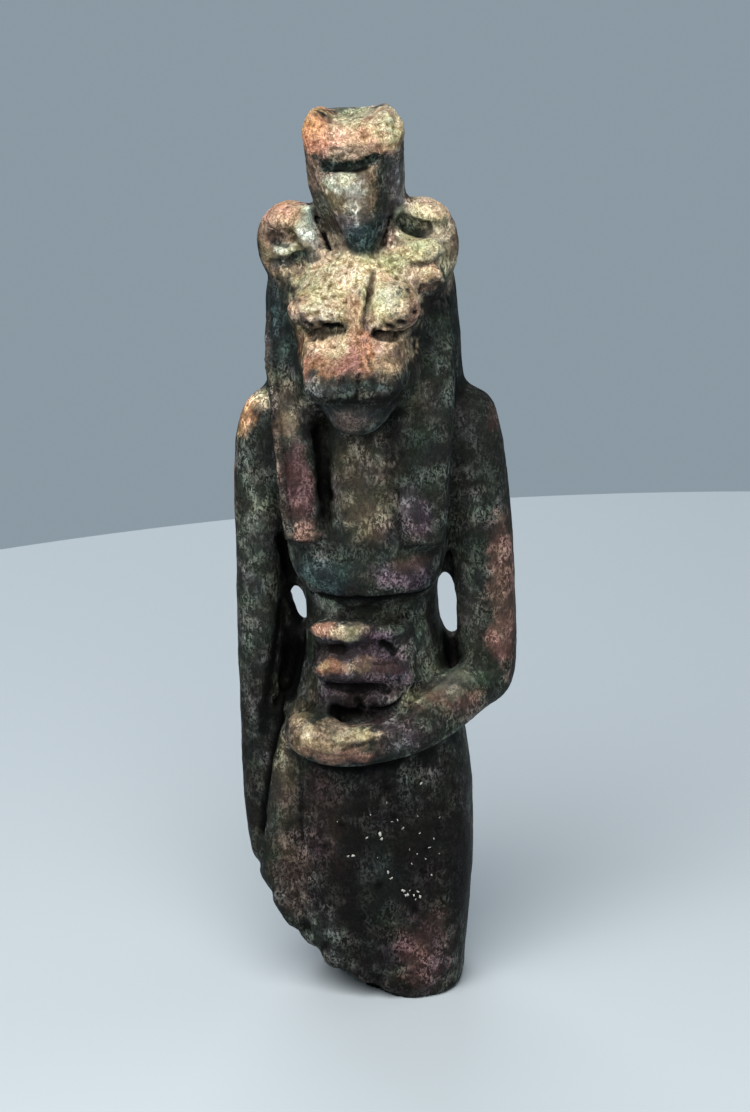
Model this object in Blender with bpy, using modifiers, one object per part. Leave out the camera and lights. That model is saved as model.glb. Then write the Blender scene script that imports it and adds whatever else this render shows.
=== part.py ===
"""Feline goddess amulet: a lioness-headed standing figure, moulded in one piece and broken above the knees.

Run with: blender --background --python part.py

Metres, +Z up. The figure faces -Y, her right side is at -X, and Z = 0 is the worn face of the break that she
stands on, with her own upright axis through the origin.
"""

import math
from collections import namedtuple

import bmesh
import bpy
from mathutils import Matrix, Vector

# Driving sizes, in metres
FIGURE_HEIGHT = 0.060
PILLAR_WIDTH = 0.0052
PILLAR_CORNER = 0.0005
CORD_HOLE_DIAMETER = 0.0013
CORD_HOLE_WALL = 0.0007

# The carving is laid out on a grid of sixtieths of the figure's height
GRID = FIGURE_HEIGHT / 60.0
FORM_VOXEL = 0.26 * GRID
CUTTER_VOXEL = 0.16 * GRID
WEAR_PASSES = 3
WEAR_STRENGTH = 0.5
CORD_HOLE_SIDES = 48
TRIANGLE_BUDGET = 8600

# Heights on the grid that more than one form shares
BELOW_BREAK = -3.0
WIG_BACK_HEM = 35.5
PILLAR_TOP = 45.0
CORD_HOLE_HEIGHT = 33.6
DRESS_BACK = 4.3

# The pillar stands out behind the dress by the hole and a wall on each side of it
PILLAR_BACK = DRESS_BACK * GRID + CORD_HOLE_DIAMETER + 2 * CORD_HOLE_WALL

# A level cross-section: its height, centre, half width, front and back, and how square it is
Level = namedtuple("Level", "z x half_width front back square")
# One ring of a limb: its centre, and its half sizes across the limb and along the reference direction
Ring = namedtuple("Ring", "x y z across deep")

BODY = (
    Level(BELOW_BREAK, 0.1, 5.1, -4.7, 4.4, 3.0),
    Level(0.0, 0.1, 5.2, -4.9, 4.6, 3.0),
    Level(5.2, 0.0, 5.9, -5.2, 4.8, 3.0),
    Level(9.5, -0.1, 6.35, -5.3, 4.9, 2.9),
    Level(15.2, -0.2, 6.4, -5.1, 4.8, 2.7),
    Level(20.0, -0.1, 5.6, -4.7, 4.5, 2.5),
    Level(23.0, 0.0, 4.75, -4.3, 4.1, 2.4),
    Level(25.7, 0.0, 4.3, -4.0, 3.8, 2.4),
    Level(28.0, 0.0, 4.4, -4.2, 3.9, 2.5),
    Level(30.5, 0.0, 5.0, -4.8, 4.1, 2.6),
    Level(34.0, 0.0, 5.5, -4.9, DRESS_BACK, 2.8),
    Level(37.5, 0.0, 6.2, -4.6, DRESS_BACK, 2.6),
    Level(40.0, 0.0, 5.8, -3.8, 4.0, 2.3),
    Level(42.0, 0.0, 3.8, -3.0, 3.4, 2.0),
)

WIG = (
    Level(WIG_BACK_HEM, 0.0, 5.3, 1.4, 4.7, 2.4),
    Level(37.5, 0.0, 6.1, 0.0, 5.3, 2.5),
    Level(40.0, 0.0, 6.35, -2.6, 5.7, 2.7),
    Level(43.0, 0.0, 6.25, -3.7, 5.8, 2.7),
    Level(46.0, -0.05, 6.2, -4.1, 5.7, 2.6),
    Level(48.2, -0.05, 6.05, -4.1, 5.3, 2.4),
    Level(50.0, 0.0, 5.3, -3.6, 4.6, 2.3),
    Level(51.4, 0.0, 4.0, -2.8, 3.5, 2.1),
    Level(52.2, 0.0, 2.2, -1.8, 2.2, 2.0),
)

URAEUS_POST = (
    Level(49.0, 0.5, 1.3, -3.3, 1.0, 3.0),
    Level(51.0, 0.45, 1.65, -3.4, 0.9, 3.0),
    Level(52.6, 0.4, 2.2, -3.5, 0.9, 3.2),
    Level(54.0, 0.15, 2.85, -3.6, 1.0, 3.6),
    Level(55.2, 0.05, 3.1, -3.7, 1.0, 4.0),
    Level(57.0, 0.05, 3.1, -4.3, 1.0, 4.4),
    Level(58.2, 0.03, 3.15, -4.8, 1.0, 4.2),
    Level(59.0, 0.03, 3.05, -4.7, 0.8, 3.8),
    Level(59.6, 0.03, 2.6, -4.1, 0.2, 3.2),
)

URAEUS_HOOD = (
    Level(50.2, 0.5, 1.0, -3.9, -1.0, 2.4),
    Level(51.4, 0.45, 1.15, -4.3, -1.0, 2.4),
    Level(52.6, 0.3, 1.45, -4.6, -1.0, 2.5),
    Level(54.2, 0.05, 1.95, -4.95, -1.0, 2.6),
    Level(55.6, -0.15, 2.3, -5.15, -1.0, 2.7),
    Level(56.5, -0.25, 2.35, -5.0, -1.0, 2.7),
    Level(57.0, -0.25, 2.1, -4.4, -1.0, 2.6),
)

RIGHT_ARM = (
    Ring(-6.3, 0.3, 39.2, 1.8, 2.2),
    Ring(-6.75, 0.3, 37.4, 1.9, 2.45),
    Ring(-7.15, 0.2, 33.0, 1.65, 2.4),
    Ring(-7.35, 0.1, 28.0, 1.55, 2.3),
    Ring(-7.6, -0.1, 22.0, 1.4, 2.2),
    Ring(-7.8, -0.3, 16.5, 1.2, 2.05),
    Ring(-7.8, -0.5, 12.0, 1.1, 1.95),
    Ring(-7.65, -0.6, 8.5, 1.15, 1.95),
    Ring(-7.2, -0.6, 3.0, 1.2, 1.9),
)

LEFT_UPPER_ARM = (
    Ring(6.5, 0.3, 39.2, 1.8, 2.2),
    Ring(6.95, 0.3, 37.3, 1.95, 2.5),
    Ring(7.3, 0.2, 33.5, 1.95, 2.45),
    Ring(7.5, 0.1, 29.0, 1.95, 2.4),
    Ring(7.6, 0.0, 25.0, 1.9, 2.3),
    Ring(7.6, -0.3, 22.4, 1.85, 2.2),
    Ring(7.4, -0.6, 20.6, 1.5, 1.8),
)

LEFT_FOREARM = (
    Ring(7.8, -0.6, 21.3, 1.5, 1.5),
    Ring(6.4, -2.3, 21.2, 1.5, 1.75),
    Ring(4.4, -4.3, 20.0, 1.5, 1.6),
    Ring(2.2, -5.6, 19.1, 1.4, 1.4),
    Ring(0.2, -6.1, 18.7, 1.3, 1.3),
    Ring(-1.6, -6.1, 18.6, 1.35, 1.4),
    Ring(-3.3, -5.7, 18.9, 1.4, 1.6),
    Ring(-4.6, -4.9, 19.2, 1.2, 1.4),
    Ring(-5.2, -4.2, 19.3, 0.7, 0.8),
)

BUST = (
    Level(28.0, 0.1, 3.4, -4.6, 1.0, 2.3),
    Level(28.4, 0.1, 4.1, -5.5, 1.2, 2.4),
    Level(29.1, 0.1, 4.6, -6.05, 1.6, 2.5),
    Level(30.2, 0.0, 5.0, -6.25, 2.0, 2.6),
    Level(31.4, 0.0, 5.2, -6.1, 2.0, 2.7),
    Level(32.6, 0.0, 5.15, -5.5, 1.8, 2.7),
    Level(34.0, 0.0, 4.9, -4.8, 1.4, 2.6),
)

# The edge of the dress on her right, which runs into the hanging arm
HIP_EDGE = (
    Ring(-5.2, -1.2, 20.5, 0.7, 1.6),
    Ring(-5.9, -1.3, 16.0, 1.2, 2.4),
    Ring(-6.3, -1.5, 11.0, 1.5, 2.6),
    Ring(-6.2, -1.6, 5.5, 1.7, 2.6),
    Ring(-5.6, -1.6, 0.0, 1.7, 2.5),
)

# The three rolls across the worn emblem, from the top down
EMBLEM_ROLLS = (
    (Ring(-3.5, -4.7, 26.1, 0.65, 0.7), Ring(-1.2, -5.3, 26.2, 0.85, 0.85), Ring(1.9, -4.9, 25.9, 0.55, 0.6)),
    (Ring(-3.4, -5.2, 23.7, 0.75, 0.8), Ring(-1.0, -5.7, 23.7, 0.9, 1.0), Ring(2.0, -5.3, 23.6, 0.7, 0.8)),
    (Ring(-2.8, -4.8, 21.4, 0.5, 0.5), Ring(0.4, -5.1, 21.3, 0.6, 0.6), Ring(2.3, -4.8, 22.0, 0.5, 0.5)),
)

# The break seen from the front, on the figure's own plane, from her right wrist down to the standing face
BREAK_OUTLINE = (
    (-9.7, 12.4),
    (-8.8, 10.1),
    (-8.5, 8.7),
    (-7.75, 6.6),
    (-6.7, 4.5),
    (-5.9, 3.3),
    (-5.1, 2.4),
    (-4.3, 1.8),
    (-3.9, 1.05),
    (-3.15, 0.3),
    (-2.1, 0.15),
    (-1.8, -0.4),
    (-1.1, -0.75),
    (0.1, -1.1),
    (0.7, -1.4),
    (1.5, -1.85),
    (3.2, -2.6),
)
BREAK_RISE_TO_FRONT = 0.4
BREAK_REACH = 9.0

# The deep slit that parts her right ear from the uraeus
SLIT_BESIDE_URAEUS = (
    Ring(-3.05, -3.2, 53.7, 0.2, 1.3),
    Ring(-2.45, -3.2, 52.3, 0.32, 1.3),
    Ring(-1.8, -3.4, 50.9, 0.25, 1.1),
)


def on_grid(x, y, z):
    return Vector((x, y, z)) * GRID


def object_from(mesh_editor, name, collection):
    mesh = bpy.data.meshes.new(name)
    bmesh.ops.recalc_face_normals(mesh_editor, faces=mesh_editor.faces)
    mesh_editor.to_mesh(mesh)
    mesh_editor.free()
    made = bpy.data.objects.new(name, mesh)
    collection.objects.link(made)
    return made


def superellipse(count, square):
    """Unit points of a rounded square: an ellipse where square is 2, and squarer above that."""
    points = []
    for i in range(count):
        angle = math.tau * i / count
        c, s = math.cos(angle), math.sin(angle)
        points.append((math.copysign(abs(c) ** (2 / square), c), math.copysign(abs(s) ** (2 / square), s)))
    return points


def skin_rings(editor, rings):
    """A closed skin over rings of equally many points, with a flat cap on each end."""
    verts = [[editor.verts.new(p) for p in ring] for ring in rings]
    count = len(verts[0])
    for low, high in zip(verts, verts[1:]):
        for i in range(count):
            j = (i + 1) % count
            editor.faces.new((low[i], low[j], high[j], high[i]))
    editor.faces.new(reversed(verts[0]))
    editor.faces.new(verts[-1])


def smooth_between(values, steps):
    """Rows of numbers with steps - 1 more rows eased in between each pair, as a spline through them."""
    rows = []
    last = len(values) - 1
    for i in range(last):
        a, b = Vector(values[i]), Vector(values[i + 1])
        before, after = Vector(values[max(i - 1, 0)]), Vector(values[min(i + 2, last)])
        start, end = (b - before) / 6.0, (after - a) / 6.0
        for s in range(steps):
            t = s / steps
            u = 1.0 - t
            rows.append(u**3 * a + 3 * u * u * t * (a + start) + 3 * u * t * t * (b - end) + t**3 * b)
    rows.append(Vector(values[last]))
    return rows


def add_levels(editor, levels, count=40, steps=4):
    """A form stacked from level cross-sections."""
    rings = []
    for z, x, half_width, front, back, square in smooth_between(levels, steps):
        middle, half_depth = (front + back) / 2, (back - front) / 2
        rings.append(
            [on_grid(x + half_width * c, middle + half_depth * s, z) for c, s in superellipse(count, square)]
        )
    skin_rings(editor, rings)


def add_limb(editor, limb, reference, count=24, steps=4, square=2.0):
    """A form swept along a line of rings, whose depth lies near the reference direction."""
    stations = smooth_between(limb, steps)
    rings = []
    for i, (x, y, z, across, deep) in enumerate(stations):
        before, after = stations[max(i - 1, 0)], stations[min(i + 1, len(stations) - 1)]
        along = (Vector(after[:3]) - Vector(before[:3])).normalized()
        side = along.cross(Vector(reference)).normalized()
        facing = side.cross(along)
        centre = Vector((x, y, z))
        rings.append(
            [(centre + side * across * c + facing * deep * s) * GRID for c, s in superellipse(count, square)]
        )
    skin_rings(editor, rings)


def add_ball(editor, centre, radii, turn=(0.0, 0.0, 0.0)):
    """An ellipsoid at a place on the grid, turned in degrees about X, Y and Z."""
    matrix = Matrix.Translation(on_grid(*centre))
    for axis, degrees in zip("XYZ", turn):
        matrix = matrix @ Matrix.Rotation(math.radians(degrees), 4, axis)
    matrix = matrix @ Matrix.Diagonal((*(r * GRID for r in radii), 1.0))
    bmesh.ops.create_uvsphere(editor, u_segments=28, v_segments=18, radius=1.0, matrix=matrix)


def add_block(editor, low, high, corner):
    """A box between two corners, in metres, with rounded edges."""
    size = Vector(high) - Vector(low)
    middle = (Vector(high) + Vector(low)) / 2
    matrix = Matrix.Translation(middle) @ Matrix.Diagonal((*size, 1.0))
    made = bmesh.ops.create_cube(editor, size=1.0, matrix=matrix)
    edges = {edge for vert in made["verts"] for edge in vert.link_edges}
    bmesh.ops.bevel(editor, geom=list(edges), offset=corner, segments=3, affect="EDGES", profile=0.5)


def add_body(editor):
    """The close dress from the break to the shoulders, and the bust over it."""
    add_levels(editor, BODY, count=48)
    add_levels(editor, BUST, count=48)
    add_limb(editor, HIP_EDGE, (0, -1, 0), square=2.4)


def add_back_pillar(editor):
    half = PILLAR_WIDTH / 2
    add_block(
        editor,
        (-half, 1.0 * GRID, BELOW_BREAK * GRID),
        (half, PILLAR_BACK, PILLAR_TOP * GRID),
        PILLAR_CORNER,
    )


def add_arms(editor):
    """Her right arm hangs down, and her left is bent across the waist with the hand flat on the belly."""
    add_ball(editor, (-6.2, 0.3, 38.7), (2.1, 2.6, 2.35))
    add_ball(editor, (6.45, 0.3, 38.6), (2.25, 2.6, 2.4))
    add_limb(editor, RIGHT_ARM, (0, -1, 0), square=2.5)
    add_limb(editor, LEFT_UPPER_ARM, (0, -1, 0), square=2.5)
    add_limb(editor, LEFT_FOREARM, (0, 0, 1), square=2.3)


def add_webs(editor):
    """The thin walls that join each arm to the body, set back from the front."""
    for low, high in (((-7.6, 0.4, 12.0), (-3.0, 2.2, 38.0)), ((3.0, 0.4, 20.5), (7.6, 2.2, 38.0))):
        add_block(editor, on_grid(*low), on_grid(*high), 0.3 * GRID)
    add_block(editor, on_grid(-7.8, -1.7, 0.0), on_grid(-5.0, 2.4, 13.0), 0.6 * GRID)


def add_emblem(editor):
    """The worn emblem held against the belly: a low block with three rolls and a rim on its left side."""
    add_block(editor, on_grid(-3.5, -4.9, 20.2), on_grid(2.5, -2.5, 26.4), 0.5 * GRID)
    for roll in EMBLEM_ROLLS:
        add_limb(editor, roll, (0, 0, 1))
    rim = (Ring(2.35, -4.9, 21.9, 0.45, 0.45), Ring(2.5, -4.8, 24.0, 0.45, 0.45), Ring(2.2, -4.6, 26.0, 0.45, 0.45))
    add_limb(editor, rim, (0, -1, 0))


def add_wig(editor):
    """The heavy wig, with a lappet falling over each shoulder."""
    add_levels(editor, WIG, count=48)
    for side, wider in ((-1, 0.0), (1, 0.3)):
        hem = 32.3 - wider
        lappet = (
            Ring(side * 4.7, -1.2, 47.0, 1.2, 1.2),
            Ring(side * 4.75, -2.5, 43.5, 1.4, 1.2),
            Ring(side * 4.35, -4.1, 40.0, 1.35 + wider, 1.2),
            Ring(side * 4.1, -4.85, 37.0, 1.35 + wider, 1.15),
            Ring(side * 3.95, -5.15, 34.0, 1.25 + wider, 1.1),
            Ring(side * 3.85, -5.35, hem, 1.2 + wider, 1.05),
        )
        add_limb(editor, lappet, (0, -1, 0), square=3.2)


def add_collar(editor):
    """The chest panel between the lappets, slightly raised."""
    panel = (
        Ring(0.0, -3.6, 40.5, 2.0, 1.3),
        Ring(0.0, -4.6, 37.0, 2.0, 1.2),
        Ring(0.0, -5.0, 32.2, 2.1, 1.1),
    )
    add_limb(editor, panel, (0, -1, 0), square=3.0)


def add_lioness_head(editor):
    """Skull, brows, square muzzle, jaw and chin."""
    add_ball(editor, (0.0, -2.7, 47.0), (4.4, 4.0, 3.8))
    add_ball(editor, (-2.3, -5.6, 47.7), (2.1, 1.5, 1.25), (0, 6, 0))
    add_ball(editor, (2.5, -5.6, 47.8), (1.75, 1.6, 1.55))
    for side in (-1, 1):
        add_ball(editor, (side * 2.2, -5.0, 44.7), (1.3, 2.0, 1.5))
        add_ball(editor, (side * 2.9, -3.8, 42.8), (1.4, 1.8, 2.6))
    muzzle = (
        Ring(0.0, -4.0, 44.5, 3.3, 2.3),
        Ring(-0.1, -6.2, 44.0, 3.3, 1.95),
        Ring(-0.15, -7.9, 43.4, 3.1, 1.35),
        Ring(-0.15, -8.6, 43.1, 2.9, 1.0),
        Ring(-0.15, -9.0, 43.1, 2.4, 0.65),
    )
    add_limb(editor, muzzle, (0, 0, 1), square=3.2)
    nose = (
        Ring(0.35, -5.7, 48.6, 1.0, 0.9),
        Ring(0.2, -6.6, 46.4, 1.0, 0.75),
        Ring(0.1, -8.5, 44.0, 1.3, 0.6),
    )
    add_limb(editor, nose, (0, -1, 0), square=2.6)
    add_ball(editor, (0.0, -5.8, 41.7), (2.3, 2.2, 1.7))
    add_ball(editor, (0.0, -6.6, 41.45), (1.95, 1.6, 1.7))


def add_ears(editor):
    """Two round upright ears beside the uraeus."""
    add_ball(editor, (-4.25, -0.9, 51.0), (2.35, 1.7, 2.85))
    add_ball(editor, (-3.3, -1.0, 52.2), (1.1, 1.3, 1.4))
    add_ball(editor, (-3.3, -2.2, 50.6), (1.1, 1.3, 2.0), (0, -15, 0))
    add_ball(editor, (4.15, -0.9, 50.8), (2.35, 1.7, 3.1))
    add_ball(editor, (3.7, -2.4, 50.4), (1.7, 1.4, 1.4))
    add_ball(editor, (4.6, -2.6, 48.9), (1.2, 1.2, 0.9))


def add_uraeus(editor):
    """The rearing cobra over the brow: a thick post, with the hood raised on its front."""
    add_levels(editor, URAEUS_POST, count=40)
    add_levels(editor, URAEUS_HOOD, count=28)
    for x in (-2.25, 2.3):
        add_ball(editor, (x, -2.3, 58.95), (0.95, 2.0, 1.08))


def cut_head(editor):
    """Ear hollows, eyes under the brows, the mouth, and the worn top and shadow line of the uraeus."""
    add_ball(editor, (-4.55, -2.9, 51.2), (1.35, 1.2, 0.95), (0, 20, 0))
    add_ball(editor, (-3.7, -3.0, 49.8), (0.7, 1.0, 0.8))
    add_ball(editor, (3.9, -2.9, 52.2), (1.1, 1.2, 0.75), (0, -15, 0))
    add_ball(editor, (-2.4, -7.1, 46.1), (1.6, 1.0, 0.42), (0, 8, 0))
    add_ball(editor, (2.5, -7.1, 45.8), (1.4, 1.0, 0.36), (0, -8, 0))
    add_ball(editor, (0.0, -9.0, 42.1), (2.3, 1.5, 0.32))
    add_ball(editor, (-0.25, -5.5, 57.1), (1.75, 1.5, 0.42), (0, -8, 0))
    add_ball(editor, (0.15, -1.5, 60.6), (1.6, 3.6, 1.2))
    add_limb(editor, SLIT_BESIDE_URAEUS, (0, -1, 0))


def cut_side_openings(editor):
    """The slots pierced between the waist and each arm."""
    add_ball(editor, (-5.0, 1.4, 26.15), (0.6, 6.0, 1.6), (0, -14, 0))
    add_ball(editor, (4.95, 1.4, 25.95), (0.72, 6.0, 2.5), (0, -5, 0))


def bore_cord_hole(editor):
    """The hole that the cord runs through, across the back pillar under the wig."""
    radius = CORD_HOLE_DIAMETER / 2
    centre = (0.0, PILLAR_BACK - CORD_HOLE_WALL - radius, CORD_HOLE_HEIGHT * GRID)
    matrix = Matrix.Translation(centre) @ Matrix.Rotation(math.pi / 2, 4, "Y")
    bmesh.ops.create_cone(
        editor,
        cap_ends=True,
        segments=CORD_HOLE_SIDES,
        radius1=radius,
        radius2=radius,
        depth=2 * PILLAR_WIDTH,
        matrix=matrix,
    )


def cut_break(editor):
    """The slanting break, ruled from front to back, with everything under it taken away."""
    rows = smooth_between([(x, z, 0.0) for x, z in BREAK_OUTLINE], 3)
    outline = [(x, z) for x, z, _ in rows]
    outline += [(outline[-1][0], -8.0), (-12.0, -8.0), (-12.0, outline[0][1])]
    rings = [
        [on_grid(x, y, z - BREAK_RISE_TO_FRONT * y) for x, z in outline] for y in (-BREAK_REACH, BREAK_REACH)
    ]
    skin_rings(editor, rings)


def glaze():
    material = bpy.data.materials.new("worn_glaze")
    material.use_nodes = True
    shader = material.node_tree.nodes["Principled BSDF"]
    shader.inputs["Base Color"].default_value = (0.075, 0.07, 0.055, 1.0)
    shader.inputs["Roughness"].default_value = 0.5
    shader.inputs["Metallic"].default_value = 0.0
    return material


def new_collection(name):
    made = bpy.data.collections.new(name)
    bpy.context.scene.collection.children.link(made)
    return made


def add_remesh(target, voxel):
    remesh = target.modifiers.new("union", "REMESH")
    remesh.mode = "VOXEL"
    remesh.voxel_size = voxel


def add_cut(target, cutter):
    cut = target.modifiers.new("cut", "BOOLEAN")
    cut.operation = "DIFFERENCE"
    cut.solver = "EXACT"
    cut.object = cutter


def triangle_count(target):
    evaluated = target.evaluated_get(bpy.context.evaluated_depsgraph_get())
    mesh = evaluated.to_mesh()
    mesh.calc_loop_triangles()
    count = len(mesh.loop_triangles)
    evaluated.to_mesh_clear()
    return count


def build_cutter(name, collection, *fillers):
    editor = bmesh.new()
    for fill in fillers:
        fill(editor)
    cutter = object_from(editor, name, collection)
    cutter.hide_render = True
    cutter.display_type = "WIRE"
    return cutter


def grind_flat(editor):
    """Everything below the plane that the figure stands on."""
    reach = FIGURE_HEIGHT
    add_block(editor, (-reach, -reach, -reach), (reach, reach, 0.0), 0.1 * GRID)


def build_figure(collection, cutters):
    editor = bmesh.new()
    for add in (
        add_body,
        add_back_pillar,
        add_arms,
        add_webs,
        add_emblem,
        add_wig,
        add_collar,
        add_lioness_head,
        add_ears,
        add_uraeus,
    ):
        add(editor)
    figure = object_from(editor, "amulet_figure", collection)
    figure.data.materials.append(glaze())
    add_remesh(figure, FORM_VOXEL)
    for name, *fillers in (("hollow_cutter", cut_head, cut_side_openings), ("break_cutter", cut_break)):
        cutter = build_cutter(name, cutters, *fillers)
        add_remesh(cutter, CUTTER_VOXEL)
        add_cut(figure, cutter)
    add_remesh(figure, FORM_VOXEL)
    wear = figure.modifiers.new("wear", "SMOOTH")
    wear.factor = WEAR_STRENGTH
    wear.iterations = WEAR_PASSES
    bpy.context.view_layer.update()
    decimate = figure.modifiers.new("facets", "DECIMATE")
    decimate.ratio = min(1.0, TRIANGLE_BUDGET / triangle_count(figure))
    add_cut(figure, build_cutter("cord_hole_cutter", cutters, bore_cord_hole))
    add_cut(figure, build_cutter("ground_cutter", cutters, grind_flat))


def main():
    for old in list(bpy.data.objects):
        bpy.data.objects.remove(old, do_unlink=True)
    build_figure(new_collection("feline_goddess_amulet"), new_collection("cutters"))


main()
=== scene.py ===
"""Feline goddess amulet: worn glaze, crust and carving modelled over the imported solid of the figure.

Sizes in the classes are millimetres in the part's own frame: she faces -Y, her right side is at -X, and
Z = 0 is the flat of the break that she stands on.
"""

import logging
import math
from dataclasses import dataclass
from enum import Enum
from typing import Optional, Protocol, Sequence

import bpy
import numpy as np
from mathutils import Matrix, Vector, noise
from mathutils.bvhtree import BVHTree


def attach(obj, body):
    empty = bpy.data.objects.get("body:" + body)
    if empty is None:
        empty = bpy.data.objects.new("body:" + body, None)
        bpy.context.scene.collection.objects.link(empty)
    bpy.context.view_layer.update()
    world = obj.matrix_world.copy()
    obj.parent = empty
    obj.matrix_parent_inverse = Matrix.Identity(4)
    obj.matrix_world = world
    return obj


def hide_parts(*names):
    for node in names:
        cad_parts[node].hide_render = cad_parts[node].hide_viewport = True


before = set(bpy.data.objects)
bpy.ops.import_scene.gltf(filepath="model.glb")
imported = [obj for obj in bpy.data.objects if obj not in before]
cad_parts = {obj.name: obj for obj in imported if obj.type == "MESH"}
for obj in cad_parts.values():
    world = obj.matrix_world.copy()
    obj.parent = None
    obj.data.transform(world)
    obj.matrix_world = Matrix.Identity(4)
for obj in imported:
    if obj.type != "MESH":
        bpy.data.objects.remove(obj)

Point = tuple[float, float, float]
MM = 0.001
NODE = "amulet_figure"
BODY = "root"
NOISE_SEED = 5
log = logging.getLogger("amulet")


class Tint(Enum):
    """The colours that the glaze and its crust have weathered to, the near-black of painted shade and a
    chalky cream for painted highlights, as linear red, green and blue.
    """

    GLAZE = (0.030, 0.034, 0.030)
    # the black-brown of the dress glaze, also used as painted shade round the eyes, under the bust, beside
    # the chin and in the emblem's pit
    BLACK_BROWN = (0.0130, 0.0116, 0.0116)
    # painted shade: near-black put into slots, grooves, gaps and pits, and under the bust and the hand, where
    # shade falls
    NIGHT = (0.006, 0.007, 0.007)
    TEAL = (0.026, 0.044, 0.044)
    DARK_GREEN = (0.018, 0.025, 0.022)
    GREY_GREEN = (0.072, 0.084, 0.070)
    OLIVE = (0.080, 0.073, 0.054)
    BROWN = (0.090, 0.067, 0.054)
    MAROON = (0.082, 0.049, 0.049)
    PURPLE = (0.060, 0.043, 0.055)
    SLATE = (0.070, 0.073, 0.075)
    ROSE = (0.330, 0.178, 0.146)
    DUSTY = (0.395, 0.222, 0.152)
    PINK = (0.600, 0.400, 0.300)
    ORANGE = (0.700, 0.390, 0.200)
    # pale crust brightened into painted highlights on the lit tops of the head, ears, cobra and hand
    CHALK = (0.860, 0.770, 0.600)
    TAN = (0.300, 0.230, 0.160)
    CREAM = (0.680, 0.590, 0.420)
    PALE_GREEN = (0.480, 0.530, 0.370)
    PALE_GREY = (0.470, 0.500, 0.465)


@dataclass(frozen=True)
class Stroke:
    """One pass of a modelling tool, which raises clay or presses it in, and may colour it with a weathered
    tint or with painted shade.
    """

    path: tuple[Point, ...]
    width: float
    height: float
    tint: Optional[Tint] = None
    cover: float = 0.8


@dataclass(frozen=True)
class Patch:
    """A weathered area, or an area of painted shade or highlight: where it is, how far it reaches, its colour
    and its thickness of crust.
    """

    centre: Point
    reach: Point
    tint: Tint
    cover: float = 0.85
    crust: float = 0.0


@dataclass(frozen=True)
class Lump:
    """A rounded lump of clay set on the figure before its surface is worked."""

    centre: Point
    radii: Point
    turn: Point = (0.0, 0.0, 0.0)


@dataclass(frozen=True)
class Ripple:
    """Smooth noise over the surface: its strength, the size of one swell, and its shift from other noise."""

    amount: float
    size: float
    shift: float


class Feature(Protocol):
    """A part of the figure that has lumps, tool strokes, and patches of weathering, painted shade and painted
    highlight of its own.
    """

    name: str

    def lumps(self) -> Sequence[Lump]:
        """The lumps set on before the surface is worked."""

    def strokes(self) -> Sequence[Stroke]:
        """The tool strokes, in working order."""

    def patches(self) -> Sequence[Patch]:
        """The weathered areas and the areas of painted shade and highlight, in painting order."""


def deselect_all() -> None:
    """Leaves object mode if need be, and clears the selection."""
    if bpy.context.object is not None and bpy.context.object.mode != "OBJECT":
        bpy.ops.object.mode_set(mode="OBJECT")
    bpy.ops.object.select_all(action="DESELECT")


def make_active(piece: bpy.types.Object) -> None:
    """Selects one object alone and makes it the active one.

    Args:
        piece: the object to select.
    """
    deselect_all()
    piece.select_set(True)
    bpy.context.view_layer.objects.active = piece


def apply_modifier(piece: bpy.types.Object, kind: str, **settings: object) -> None:
    """Adds one modifier to an object and applies it.

    Args:
        piece: the object to change.
        kind: the modifier's type, such as REMESH.
        **settings: the modifier's own properties by name.
    """
    make_active(piece)
    modifier = piece.modifiers.new(kind.lower(), kind)
    for key, value in settings.items():
        setattr(modifier, key, value)
    bpy.ops.object.modifier_apply(modifier=modifier.name)


def smoothstep(values: np.ndarray) -> np.ndarray:
    """Eases values from 0 to 1 with flat ends.

    Args:
        values: numbers of any size; those outside 0 to 1 are clipped.

    Returns:
        The eased numbers.
    """
    t = np.clip(values, 0.0, 1.0)
    return t * t * (3.0 - 2.0 * t)


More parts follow.
